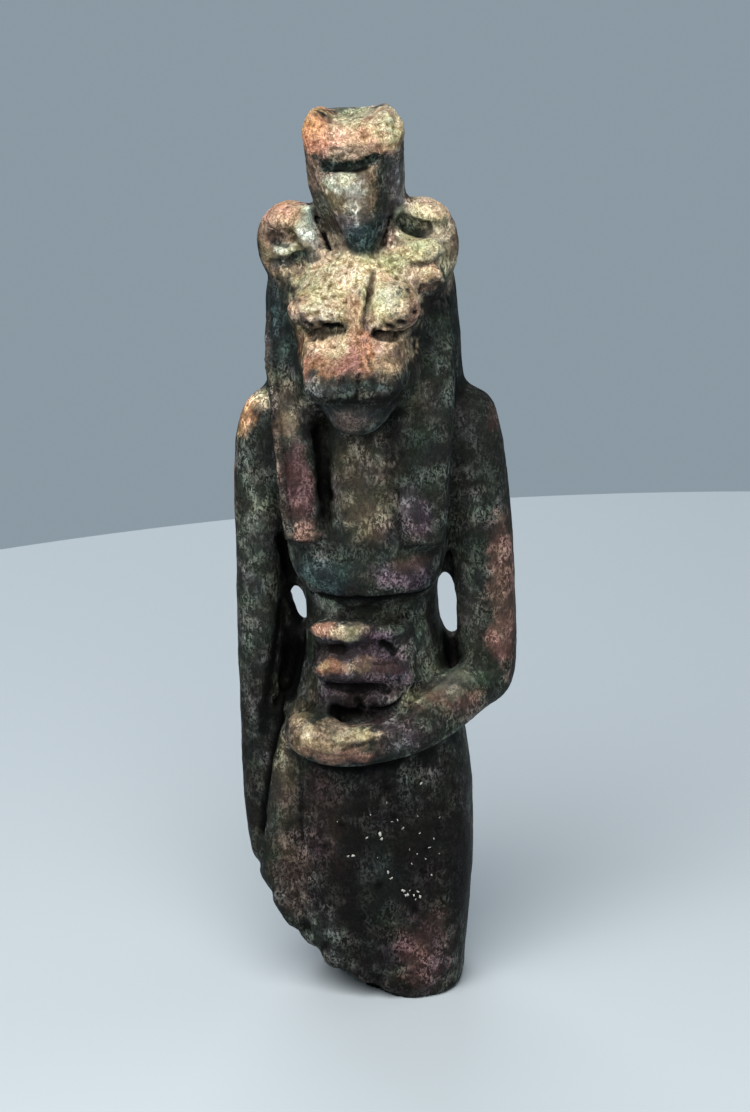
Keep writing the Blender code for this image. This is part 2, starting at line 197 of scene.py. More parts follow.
class Clay:
    """The surface of a mesh as arrays in millimetres, which tool strokes and patches work on.

    Stray is how far a stroke wanders, bite how much its depth varies, loosening how much of the stray a
    stroke gets for its width, and settling the square of the distance over which a corner finds the surface.
    """

    stray_ripples = (Ripple(0.22, 0.9, 61.0), Ripple(0.09, 0.38, 67.0))
    bite_ripple = Ripple(0.6, 0.8, 83.0)
    loosening = 1.1
    settling = 0.02
    margin = 1.0

    def __init__(self, piece: bpy.types.Object) -> None:
        """Reads the mesh of an object.

        Args:
            piece: the object whose mesh is worked.
        """
        self.piece = piece
        self.mesh = piece.data
        count = len(self.mesh.vertices)
        flat = np.empty(count * 3)
        self.mesh.vertices.foreach_get("co", flat)
        self.co = flat.reshape(-1, 3) / MM
        edges = np.empty(len(self.mesh.edges) * 2, int)
        self.mesh.edges.foreach_get("vertices", edges)
        self.edges = edges.reshape(-1, 2)
        self.degree = np.bincount(self.edges.ravel(), minlength=count).astype(float)
        self.tint = np.tile(np.array(Tint.GLAZE.value), (count, 1))
        self.crust = np.zeros(count)
        self.marks: list[tuple[np.ndarray, np.ndarray, Stroke]] = []
        self.update()
        self.stray = self.drift(*self.stray_ripples)
        self.bite = 1.0 + self.wave(self.bite_ripple)

    def update(self) -> None:
        """Writes the worked places to the mesh and reads its normals again."""
        self.mesh.vertices.foreach_set("co", (self.co * MM).ravel())
        self.mesh.update()
        flat = np.empty(len(self.co) * 3)
        self.mesh.vertex_normals.foreach_get("vector", flat)
        self.normal = flat.reshape(-1, 3)

    def spread(self, values: np.ndarray, passes: int) -> np.ndarray:
        """Averages numbers with those of neighbouring points.

        Args:
            values: one row for each point.
            passes: how many times to average.

        Returns:
            The averaged rows.
        """
        out = values.astype(float)
        first, second = self.edges.T
        for _ in range(passes):
            total = np.empty_like(out)
            for column in range(out.shape[1]):
                total[:, column] = np.bincount(first, out[second, column], len(out))
                total[:, column] += np.bincount(second, out[first, column], len(out))
            out = 0.5 * out + 0.5 * total / self.degree[:, None]
        return out

    def wave(self, *ripples: Ripple) -> np.ndarray:
        """Smooth noise over the surface.

        Args:
            *ripples: the noises to add up.

        Returns:
            One value for each point, from minus to plus the ripples' amounts.
        """
        return sum(
            ripple.amount
            * np.array([noise.noise(Vector(row)) for row in self.co / ripple.size + ripple.shift])
            for ripple in ripples
        )

    def drift(self, *ripples: Ripple) -> np.ndarray:
        """Smooth noise directions over the surface.

        Args:
            *ripples: the noises to add up.

        Returns:
            One direction for each point, as long as the ripples' amounts at most.
        """
        return sum(
            ripple.amount
            * np.array([noise.noise_vector(Vector(row)) for row in self.co / ripple.size + ripple.shift])
            for ripple in ripples
        )

    def reach_of(self, path: Sequence[Point], width: float, places: np.ndarray) -> np.ndarray:
        """How near each place is to a line.

        Args:
            path: the corners of the line.
            width: the distance at which the line's hold ends.
            places: the places to measure.

        Returns:
            1 on the line, easing to 0 at its width.
        """
        nearest = np.full(len(places), 1e9)
        ends = [np.array(corner) for corner in path]
        if len(ends) == 1:
            nearest = np.linalg.norm(places - ends[0], axis=1)
        for start, end in zip(ends, ends[1:]):
            line = end - start
            along = np.clip((places - start) @ line / (line @ line), 0.0, 1.0)
            nearest = np.minimum(nearest, np.linalg.norm(places - start - along[:, None] * line, axis=1))
        return smoothstep(1.0 - nearest / width)

    def settle(self, corner: np.ndarray, places: np.ndarray) -> np.ndarray:
        """Moves a corner of a stroke onto the surface.

        Args:
            corner: the corner.
            places: the points of the surface round the stroke.

        Returns:
            The middle of the points nearest to it, which rounding can't flip from one point to another.
        """
        distance = ((places - corner) ** 2).sum(1)
        share = np.exp((distance.min() - distance) / self.settling)
        return share @ places / share.sum()

    def press(self, stroke: Stroke) -> None:
        """Works one tool stroke into the surface, after its corners have settled onto it.

        Args:
            stroke: the stroke.
        """
        corners = np.array(stroke.path)
        low = corners.min(0) - stroke.width - self.margin
        high = corners.max(0) + stroke.width + self.margin
        near = np.flatnonzero(((self.co > low) & (self.co < high)).all(1))
        if not len(near):
            log.warning("a stroke at %s misses the surface", stroke.path[0])
            return
        places = self.co[near]
        path = [self.settle(corner, places) for corner in corners]
        loose = min(1.0, self.loosening * stroke.width)
        hold = self.reach_of(path, stroke.width, places + loose * self.stray[near])
        self.co[near] += self.normal[near] * (hold * self.bite[near] * stroke.height)[:, None]
        self.marks.append((near, hold, stroke))

    def paint_marks(self, ragged: np.ndarray) -> None:
        """Colours the strokes that have a tint, with weathering or painted shade, and takes the crust out of
        them.

        Args:
            ragged: how much further in or out the edge lies at each place.
        """
        for near, hold, stroke in self.marks:
            if stroke.tint is None:
                continue
            share = np.clip(hold * (1.6 + 0.8 * ragged[near]), 0.0, 1.0) * stroke.cover
            self.tint[near] += (np.array(stroke.tint.value) - self.tint[near]) * share[:, None]
            self.crust[near] *= 1.0 - 0.7 * share

    def paint_area(self, patch: Patch, drift: np.ndarray, ragged: np.ndarray) -> None:
        """Colours one area with a ragged edge: a weathered patch, painted shade or a painted highlight.

        Args:
            patch: the area.
            drift: how far each place is shifted before it is measured.
            ragged: how much further in or out the edge lies at each place.
        """
        distance = np.linalg.norm((self.co + drift - np.array(patch.centre)) / np.array(patch.reach), axis=1)
        fringe = np.clip(2.0 * distance - 0.9, 0.0, 1.0)
        hold = smoothstep((1.25 + 0.5 * ragged * fringe - distance) / 0.75)
        share = (hold * patch.cover)[:, None]
        self.tint += (np.array(patch.tint.value) - self.tint) * share
        self.crust += (patch.crust - self.crust) * hold * patch.cover

    def save_number(self, name: str, values: np.ndarray) -> None:
        """Keeps one number for each point as an attribute of the mesh.

        Args:
            name: the attribute's name.
            values: the numbers.
        """
        kept = self.mesh.attributes.new(name, "FLOAT", "POINT")
        kept.data.foreach_set("value", values.astype(np.float32))

    def save_tint(self, name: str) -> None:
        """Keeps the tint of each point as a colour attribute of the mesh.

        Args:
            name: the attribute's name.
        """
        kept = self.mesh.attributes.new(name, "FLOAT_COLOR", "POINT")
        rows = np.ones((len(self.tint), 4), np.float32)
        rows[:, :3] = self.tint
        kept.data.foreach_set("color", rows.ravel())


@dataclass
class Uraeus:
    """The rearing cobra over the brow: two worn knobs, a shadow line under them, and the narrowing hood."""

    name: str = "uraeus"
    slot_depth: float = 0.36
    hood_edge_depth: float = 0.12

    def lumps(self) -> Sequence[Lump]:
        """The roll over the slot, and the two knobs on top."""
        return (
            Lump((0.0, -3.8, 58.25), (2.5, 1.3, 0.62)),
            Lump((-2.35, -2.9, 58.85), (0.85, 1.8, 1.15)),
            Lump((2.35, -2.9, 58.85), (1.0, 1.8, 1.12)),
        )

    def strokes(self) -> Sequence[Stroke]:
        """The worn top, the slot with painted shade in it, and the hood's edges, the right one partly painted
        shade.
        """
        return (
            Stroke(((-0.7, -3.4, 59.4), (-0.2, -1.0, 59.6)), 1.2, -0.30),
            Stroke(((-2.2, -3.8, 59.4), (-2.2, -1.0, 59.6)), 0.8, 0.14),
            Stroke(((2.0, -3.8, 59.4), (2.0, -1.0, 59.6)), 1.4, 0.20),
            Stroke(((-3.0, -4.2, 59.4), (-3.0, -0.5, 59.7)), 0.9, -0.32),
            Stroke(((3.1, -4.2, 59.4), (3.1, -0.5, 59.6)), 1.1, -0.42),
            Stroke(((-1.35, -2.0, 59.6), (-1.3, -3.8, 59.3), (-1.25, -4.8, 58.7)), 0.30, -0.12, Tint.TAN,
                   0.3),
            # painted shade: the slot is pressed in and coloured dark green and near-black under the roll
            Stroke(((-1.8, -4.5, 56.75), (-1.0, -4.8, 56.9), (0.1, -4.9, 57.0), (1.0, -4.8, 57.1),
                    (1.5, -4.6, 57.15)), 0.52, -self.slot_depth, Tint.DARK_GREEN, 1.0),
            Stroke(((-1.2, -4.8, 56.9), (-0.2, -4.9, 56.95), (0.8, -4.9, 57.05)), 0.40, -0.16, Tint.NIGHT,
                   0.95),
            Stroke(((-2.6, -3.8, 56.4), (-1.9, -4.1, 54.6), (-1.3, -3.9, 52.8), (-0.8, -3.7, 51.3)), 0.5,
                   -self.hood_edge_depth, Tint.BROWN, 0.3),
            # dark teal down the hood's right edge, partly painted shade on the flank
            Stroke(((2.2, -4.2, 57.0), (2.1, -4.1, 55.4), (1.8, -3.9, 53.4), (1.5, -3.6, 51.2)), 0.85,
                   -self.hood_edge_depth, Tint.TEAL, 0.5),
            Stroke(((-0.1, -5.1, 55.7), (0.0, -5.0, 54.4)), 1.1, 0.12),
            Stroke(((0.15, -5.0, 54.6), (0.25, -4.8, 52.9)), 0.15, 0.06, Tint.PALE_GREY, 0.35),
        )

    def patches(self) -> Sequence[Patch]:
        """Orange and cream knobs, a pink roll, a pale hood with a painted highlight near its top that grows
        darker towards the bottom, and a dark flank that is partly painted shade.
        """
        return (
            Patch((0.0, -1.5, 56.0), (4.0, 4.5, 4.5), Tint.BROWN, 0.7, 0.3),
            Patch((0.0, -3.5, 58.6), (3.6, 3.4, 1.6), Tint.PINK, 0.9, 0.9),
            Patch((-2.5, -3.0, 58.8), (1.2, 3.0, 1.7), Tint.ORANGE, 0.85, 0.7),
            Patch((-1.3, -2.5, 59.0), (0.6, 2.0, 0.9), Tint.TAN, 0.55, 0.7),
            Patch((2.4, -3.0, 59.0), (1.4, 3.0, 1.3), Tint.CREAM, 0.9, 0.9),
            # a chalky painted highlight on the top of the cream knob
            Patch((2.2, -3.4, 59.0), (0.9, 1.2, 0.7), Tint.CHALK, 0.4, 0.9),
            Patch((1.6, -3.6, 59.1), (0.8, 1.4, 0.7), Tint.PALE_GREEN, 0.5, 0.8),
            Patch((0.1, -2.6, 59.5), (1.5, 2.6, 0.9), Tint.PALE_GREEN, 0.7, 0.8),
            Patch((0.0, -4.7, 57.9), (2.2, 1.2, 0.7), Tint.PINK, 0.7, 0.9),
            Patch((0.0, -4.8, 54.9), (2.1, 1.3, 2.0), Tint.TAN, 0.55, 0.5),
            # painted highlight: pale grey and chalky cream near the top of the hood
            Patch((-0.2, -5.0, 55.6), (1.3, 0.9, 0.9), Tint.PALE_GREY, 0.95, 0.8),
            Patch((-0.3, -5.0, 55.9), (0.9, 0.9, 0.5), Tint.CHALK, 0.35, 0.8),
            Patch((0.2, -4.9, 54.4), (1.0, 0.9, 0.9), Tint.PALE_GREY, 0.35, 0.4),
            # slate and teal make the hood darker towards the bottom
            Patch((0.2, -4.6, 53.2), (1.6, 1.3, 0.9), Tint.SLATE, 0.8, 0.3),
            Patch((0.45, -4.2, 51.9), (1.5, 1.3, 1.2), Tint.TEAL, 0.95, 0.0),
            Patch((-2.6, -3.4, 56.2), (0.9, 1.6, 1.6), Tint.TAN, 0.55, 0.5),
            Patch((-2.1, -3.6, 54.2), (0.8, 1.4, 1.2), Tint.GREY_GREEN, 0.5, 0.4),
            # slate down the right flank, partly painted shade
            Patch((2.9, -2.6, 55.0), (1.0, 2.8, 2.2), Tint.SLATE, 0.80, 0.2),
            Patch((2.9, -2.6, 55.2), (0.8, 2.0, 1.7), Tint.PALE_GREY, 0.18, 0.2),
            Patch((0.0, -4.8, 53.6), (1.2, 1.0, 0.7), Tint.PALE_GREY, 0.10, 0.4),
            Patch((2.9, -3.0, 57.3), (0.7, 2.0, 0.8), Tint.SLATE, 0.6, 0.2),
        )


@dataclass
class Ears:
    """Two round ears, hollow in front, with a slit between her right ear and the uraeus."""

    name: str = "ears"
    slit_depth: float = 0.46
    hollow_depth: float = 0.26

    def lumps(self) -> Sequence[Lump]:
        """The folded rims, and the bumps inside them."""
        return (
            Lump((-4.3, -1.9, 53.0), (1.5, 0.75, 0.65), (0.0, -12.0, 0.0)),
            Lump((-4.4, -2.3, 50.8), (0.75, 0.6, 0.42)),
            Lump((4.5, -2.0, 53.05), (1.5, 0.75, 0.65), (0.0, 14.0, 0.0)),
            Lump((4.4, -3.1, 50.95), (1.25, 0.8, 0.75)),
            Lump((4.5, -3.45, 49.35), (1.05, 0.55, 0.55)),
        )

    def strokes(self) -> Sequence[Stroke]:
        """The slit, the hollows and the creases, with painted shade in them, and pale streaks."""
        deep = self.hollow_depth
        return (
            # painted shade: near-black in the slit beside the uraeus
            Stroke(((-3.1, -0.9, 53.9), (-2.9, -1.3, 53.4), (-2.55, -1.7, 52.7), (-2.1, -2.1, 51.8),
                    (-1.7, -2.8, 51.0)), 0.22,
                   -self.slit_depth, Tint.NIGHT, 1.0),
            Stroke(((-2.55, -2.3, 53.6), (-1.75, -3.0, 52.0), (-1.1, -3.5, 50.9)), 0.17, 0.08, Tint.PALE_GREY,
                   0.25),
            # painted shade in the hollow of her right ear, in brown, black-brown, teal and slate
            Stroke(((-5.8, -2.1, 51.75), (-5.0, -2.4, 51.65), (-4.3, -2.6, 51.8)), 0.75, -deep, Tint.BROWN,
                   0.85),
            Stroke(((-5.3, -2.4, 51.6), (-4.6, -2.6, 51.7)), 0.4, -0.5 * deep, Tint.BLACK_BROWN, 0.8),
            Stroke(((-3.9, -2.5, 50.4), (-3.1, -3.3, 50.6), (-2.7, -3.3, 50.8)), 0.65, -0.8 * deep, Tint.TEAL,
                   0.8),
            Stroke(((-5.4, -2.2, 49.9), (-4.7, -2.5, 50.0), (-4.2, -2.6, 50.1)), 0.6, -0.8 * deep, Tint.SLATE,
                   0.8),
            Stroke(((-3.1, -1.9, 53.4), (-2.9, -2.4, 52.4), (-2.6, -2.9, 51.4)), 0.5, 0.12, Tint.PALE_GREY,
                   0.35),
            # painted shade in the hollow of her left ear, in teal and dark green
            Stroke(((2.9, -2.1, 52.6), (3.7, -2.1, 52.2), (4.3, -2.4, 52.1)), 0.95, -deep, Tint.TEAL, 0.75),
            Stroke(((3.2, -2.2, 52.3), (3.9, -2.3, 52.05)), 0.60, -0.4 * deep, Tint.DARK_GREEN, 0.9),
            Stroke(((2.7, -2.4, 53.4), (2.9, -2.8, 51.9)), 0.5, 0.14, Tint.PALE_GREEN, 0.5),
            # painted shade in the gap between her left ear and the uraeus
            Stroke(((2.15, -2.9, 53.0), (2.1, -3.0, 52.2), (2.0, -3.2, 51.4)), 0.34, -0.30, Tint.NIGHT, 0.8),
            # painted shade under the lobe and along the crease of her left ear
            Stroke(((4.3, -4.0, 48.55), (5.3, -3.5, 48.7)), 0.42, -0.14, Tint.BROWN, 0.6),
            Stroke(((3.6, -3.9, 50.15), (4.6, -3.7, 50.1), (5.4, -3.1, 50.2)), 0.32, -0.14, Tint.BROWN, 0.5),
        )

    def patches(self) -> Sequence[Patch]:
        """Pink over her right ear, and cream, green and pink over her left, with a chalky painted highlight
        on its top.
        """
        return (
            Patch((-4.4, -1.2, 51.6), (2.6, 2.4, 2.9), Tint.TAN, 0.75, 0.6),
            Patch((-4.5, -1.6, 53.0), (1.9, 1.8, 1.1), Tint.PINK, 0.9, 0.9),
            Patch((-3.0, -2.2, 52.6), (0.8, 1.0, 1.4), Tint.PALE_GREY, 0.65, 0.6),
            Patch((-4.4, -2.2, 50.9), (0.9, 0.8, 0.5), Tint.PALE_GREY, 0.75, 0.8),
            Patch((-5.9, -1.8, 50.6), (0.7, 1.5, 1.3), Tint.TAN, 0.5, 0.6),
            Patch((4.3, -1.6, 51.0), (2.6, 2.4, 3.1), Tint.CREAM, 0.75, 0.8),
            Patch((3.1, -2.4, 53.1), (0.9, 1.5, 0.9), Tint.PALE_GREEN, 0.8, 0.8),
            Patch((4.6, -1.3, 53.3), (2.0, 2.0, 1.1), Tint.CREAM, 0.85, 0.9),
            # a chalky painted highlight on the top of her left ear
            Patch((4.0, -1.8, 53.2), (1.1, 1.2, 0.6), Tint.CHALK, 0.5, 0.9),
            Patch((5.2, -1.6, 53.1), (1.2, 1.6, 0.8), Tint.PINK, 0.5, 0.9),
            Patch((4.3, -3.0, 51.0), (1.7, 1.2, 0.9), Tint.PALE_GREEN, 0.6, 0.9),
            Patch((6.2, -1.2, 50.6), (0.6, 2.2, 2.2), Tint.BROWN, 0.75, 0.4),
            Patch((4.5, -3.6, 49.4), (1.2, 0.9, 0.6), Tint.PINK, 0.85, 0.8),
            Patch((5.8, -1.5, 48.6), (1.0, 1.8, 0.8), Tint.BROWN, 0.6, 0.2),
        )


@dataclass
class Face:
    """The lioness's forehead, brows, narrow eyes, nose, square muzzle and chin."""

    name: str = "face"
    eye_depth: float = 0.32
    mouth_depth: float = 0.14
    crack_depth: float = 0.18
    pits: int = 14
    pit_depths: tuple[float, float] = (0.12, 0.14)

    def lumps(self) -> Sequence[Lump]:
        """The brow over each eye, the bridge between them and the cheeks under them."""
        return (
            Lump((2.6, -5.8, 48.0), (1.55, 1.1, 1.55)),
            Lump((-2.3, -6.0, 47.8), (1.8, 0.92, 0.72), (0.0, 4.0, 0.0)),
            Lump((0.4, -6.3, 47.3), (0.85, 0.95, 2.4)),
            Lump((-1.9, -6.0, 45.6), (1.3, 1.0, 0.7), (0.0, 10.0, 0.0)),
            Lump((1.9, -6.0, 45.5), (1.1, 1.0, 0.7), (0.0, -10.0, 0.0)),
        )

    def brow_pits(self) -> Sequence[Stroke]:
        """Broken pits along the lower edges of the brows, olive above and dark below, the dark ones painted
        shade under the brows.

        Returns:
            One stroke for each pit, by turns over her right eye and her left.
        """
        made = []
        for i in range(self.pits):
            sway = math.sin(4.7 * i)
            size = 0.22 + 0.16 * math.sin(2.9 * i) ** 2
            over_right = (-4.1 + 0.26 * i, -7.1 + 0.008 * (i - 8.0) ** 2, 47.05 + 0.34 * sway)
            over_left = (1.3 + 0.21 * i, -7.0 + 0.010 * (i - 5.0) ** 2, 46.75 + 0.26 * sway + 0.007 * i * i)
            # the lower pits are black-brown as painted shade, the higher ones olive
            tint, cover = (Tint.OLIVE, 0.5) if sway > 0.0 else (Tint.BLACK_BROWN, 0.95)
            made.append(Stroke((over_right,), size, -self.pit_depths[0] * cover, tint, cover))
            made.append(Stroke((over_left,), size * 1.15, -self.pit_depths[1] * cover, tint, cover))
        return made

    def strokes(self) -> Sequence[Stroke]:
        """The pits, the eye slits, the crack across the bridge, the nose, the mouth and the chin, with
        painted shade in the slits, the nose line, the nostrils and the mouth.
        """
        deep = self.eye_depth
        return (
            *self.brow_pits(),
            # painted shade: the eye slits in black-brown and near-black
            Stroke(((-4.0, -5.2, 46.4), (-3.1, -6.3, 46.35), (-2.2, -6.7, 46.5), (-1.2, -6.7, 46.65),
                    (-0.7, -6.9, 46.9)), 0.62, -deep, Tint.BLACK_BROWN, 0.7),
            Stroke(((-1.7, -6.7, 46.8), (-1.1, -6.7, 46.8)), 0.40, -0.9 * deep, Tint.NIGHT, 1.0),
            Stroke(((-3.4, -6.3, 46.4), (-2.8, -6.5, 46.35)), 0.32, -0.6 * deep, Tint.NIGHT, 0.9),
            Stroke(((1.3, -6.8, 46.4), (2.1, -6.6, 46.1), (2.9, -6.2, 46.2), (3.6, -5.4, 46.5)), 0.5, -deep,
                   Tint.BLACK_BROWN, 0.85),
            Stroke(((1.5, -6.8, 46.4), (2.2, -6.6, 46.25)), 0.26, -0.6 * deep, Tint.NIGHT, 0.9),
            Stroke(((1.2, -4.9, 50.0), (1.1, -5.7, 49.4), (0.95, -6.4, 48.8), (0.75, -6.8, 48.1),
                    (0.7, -7.0, 47.5), (0.85, -7.1, 46.9)), 0.36, -self.crack_depth, Tint.BROWN, 0.8),
            Stroke(((1.1, -6.1, 49.2), (0.8, -6.8, 48.2), (0.8, -6.9, 47.2)), 0.6, -0.14, Tint.OLIVE, 0.3),
            Stroke(((0.75, -7.4, 46.3), (0.85, -8.0, 45.4), (1.1, -8.4, 44.9)), 0.24, -0.08, Tint.BROWN, 0.4),
            Stroke(((-3.6, -6.3, 47.9), (-2.8, -6.9, 48.15), (-1.4, -7.0, 48.1)), 0.4, 0.10),
            Stroke(((1.6, -6.6, 48.9), (2.6, -6.6, 49.3), (3.6, -6.2, 48.9)), 0.4, 0.08),
            # painted shade in the nose line, the nostrils and the mouth
            Stroke(((0.35, -8.7, 44.3), (0.25, -9.0, 43.6), (0.15, -9.0, 42.9)), 0.24, -0.16, Tint.NIGHT,
                   0.6),
            Stroke(((-0.8, -8.9, 44.0),), 0.35, -0.12, Tint.BLACK_BROWN, 0.6),
            Stroke(((1.2, -8.9, 44.0),), 0.35, -0.12, Tint.BLACK_BROWN, 0.6),
            Stroke(((-2.7, -8.7, 42.9), (-1.5, -9.0, 42.6), (0.1, -9.0, 42.5), (1.4, -8.9, 42.6),
                    (2.6, -8.6, 42.9)), 0.55, -self.mouth_depth, Tint.NIGHT, 0.75),
            Stroke(((-1.6, -7.7, 41.9), (0.0, -8.2, 41.7), (1.6, -7.7, 41.9)), 0.7, 0.18),
            Stroke(((-3.3, -8.0, 44.1), (-3.2, -8.6, 43.4)), 0.4, 0.10),
        )

    def patches(self) -> Sequence[Patch]:
        """Cream crust down to the edge of the muzzle, pink on the bridge, and bare dark glaze below that is
        partly painted shade, with painted shade under the brows and chalky painted highlights on the
        forehead, brows and bridge.
        """
        return (
            Patch((0.0, -4.0, 49.4), (5.0, 3.4, 2.3), Tint.CREAM, 0.95, 1.0),
            Patch((0.0, -5.6, 47.2), (4.4, 3.0, 2.6), Tint.CREAM, 0.95, 1.0),
            Patch((0.0, -6.6, 45.3), (3.7, 3.2, 1.4), Tint.CREAM, 0.85, 1.0),
            Patch((-3.4, -4.6, 49.4), (1.7, 2.0, 1.2), Tint.PALE_GREEN, 0.65, 1.0),
            Patch((2.4, -4.4, 50.2), (1.5, 1.6, 0.8), Tint.PALE_GREEN, 0.5, 1.0),
            Patch((-2.9, -6.2, 47.9), (1.6, 1.2, 0.8), Tint.PINK, 0.45, 1.0),
            Patch((0.2, -6.8, 47.6), (0.9, 1.8, 1.9), Tint.DUSTY, 0.70, 0.9),
            Patch((0.4, -7.4, 45.9), (0.9, 1.8, 1.6), Tint.DUSTY, 0.80, 0.9),
            Patch((3.9, -5.8, 47.9), (0.6, 1.2, 1.2), Tint.PINK, 0.6, 0.9),
            Patch((-3.3, -5.8, 45.5), (1.0, 2.2, 1.3), Tint.DUSTY, 0.55, 0.9),
            Patch((-2.0, -8.0, 44.6), (2.0, 1.5, 0.85), Tint.DUSTY, 0.92, 0.8),
            Patch((0.3, -8.2, 45.0), (1.7, 1.3, 0.9), Tint.ROSE, 0.9, 0.8),
            Patch((0.9, -8.0, 45.3), (0.5, 1.0, 1.0), Tint.ORANGE, 0.35, 0.8),
            Patch((-0.4, -8.1, 44.9), (2.6, 1.4, 0.7), Tint.BROWN, 0.30, 0.8),
            Patch((2.4, -7.6, 44.8), (1.2, 1.8, 0.8), Tint.TAN, 0.75, 0.6),
            Patch((3.3, -6.8, 45.2), (0.9, 1.8, 1.2), Tint.BROWN, 0.75, 0.4),
            Patch((0.0, -8.6, 44.1), (3.4, 1.2, 0.35), Tint.BROWN, 0.65, 0.5),
            # painted shade under the brows, over the eyes
            Patch((-2.4, -6.4, 46.6), (2.0, 1.2, 0.50), Tint.BLACK_BROWN, 0.60, 0.6),
            Patch((2.5, -6.3, 46.4), (1.5, 1.2, 0.42), Tint.BLACK_BROWN, 0.60, 0.6),
            Patch((3.5, -6.0, 48.2), (0.5, 1.0, 0.9), Tint.BROWN, 0.5, 0.9),
            Patch((2.8, -6.6, 47.0), (1.2, 1.0, 0.40), Tint.BLACK_BROWN, 0.60, 0.9),
            Patch((3.7, -5.9, 47.5), (0.5, 1.0, 0.8), Tint.BROWN, 0.55, 0.9),
            Patch((-2.7, -6.7, 47.1), (1.5, 1.0, 0.36), Tint.BLACK_BROWN, 0.60, 0.9),
            # chalky painted highlights on the forehead, the brows and the bridge
            Patch((0.2, -5.0, 49.6), (1.7, 1.6, 1.0), Tint.CHALK, 0.7, 1.0),
            Patch((-2.6, -6.6, 48.0), (1.2, 0.9, 0.5), Tint.CHALK, 0.4, 1.0),
            Patch((-1.2, -7.4, 45.7), (0.9, 0.9, 0.5), Tint.CHALK, 0.25, 0.9),
            Patch((2.0, -6.6, 48.6), (1.1, 0.9, 0.9), Tint.CHALK, 0.6, 0.9),
            Patch((2.2, -8.2, 44.0), (1.3, 1.2, 0.5), Tint.BROWN, 0.7, 0.3),
            Patch((-2.8, -7.9, 43.9), (1.2, 1.8, 0.5), Tint.BROWN, 0.6, 0.3),
            # dark glaze over the front of the muzzle, partly painted shade under its overhang
            Patch((0.0, -8.2, 42.9), (4.3, 2.8, 1.25), Tint.GLAZE, 0.97, 0.1),
            Patch((-2.2, -8.6, 43.4), (1.4, 1.2, 0.7), Tint.SLATE, 0.6, 0.1),
            Patch((0.4, -8.8, 43.5), (1.6, 0.8, 0.4), Tint.TEAL, 0.5, 0.0),
            Patch((0.0, -7.0, 41.3), (2.4, 2.4, 1.2), Tint.SLATE, 0.6, 0.3),
            Patch((-0.3, -7.8, 41.0), (1.4, 1.0, 0.9), Tint.ROSE, 0.12, 0.2),
        )


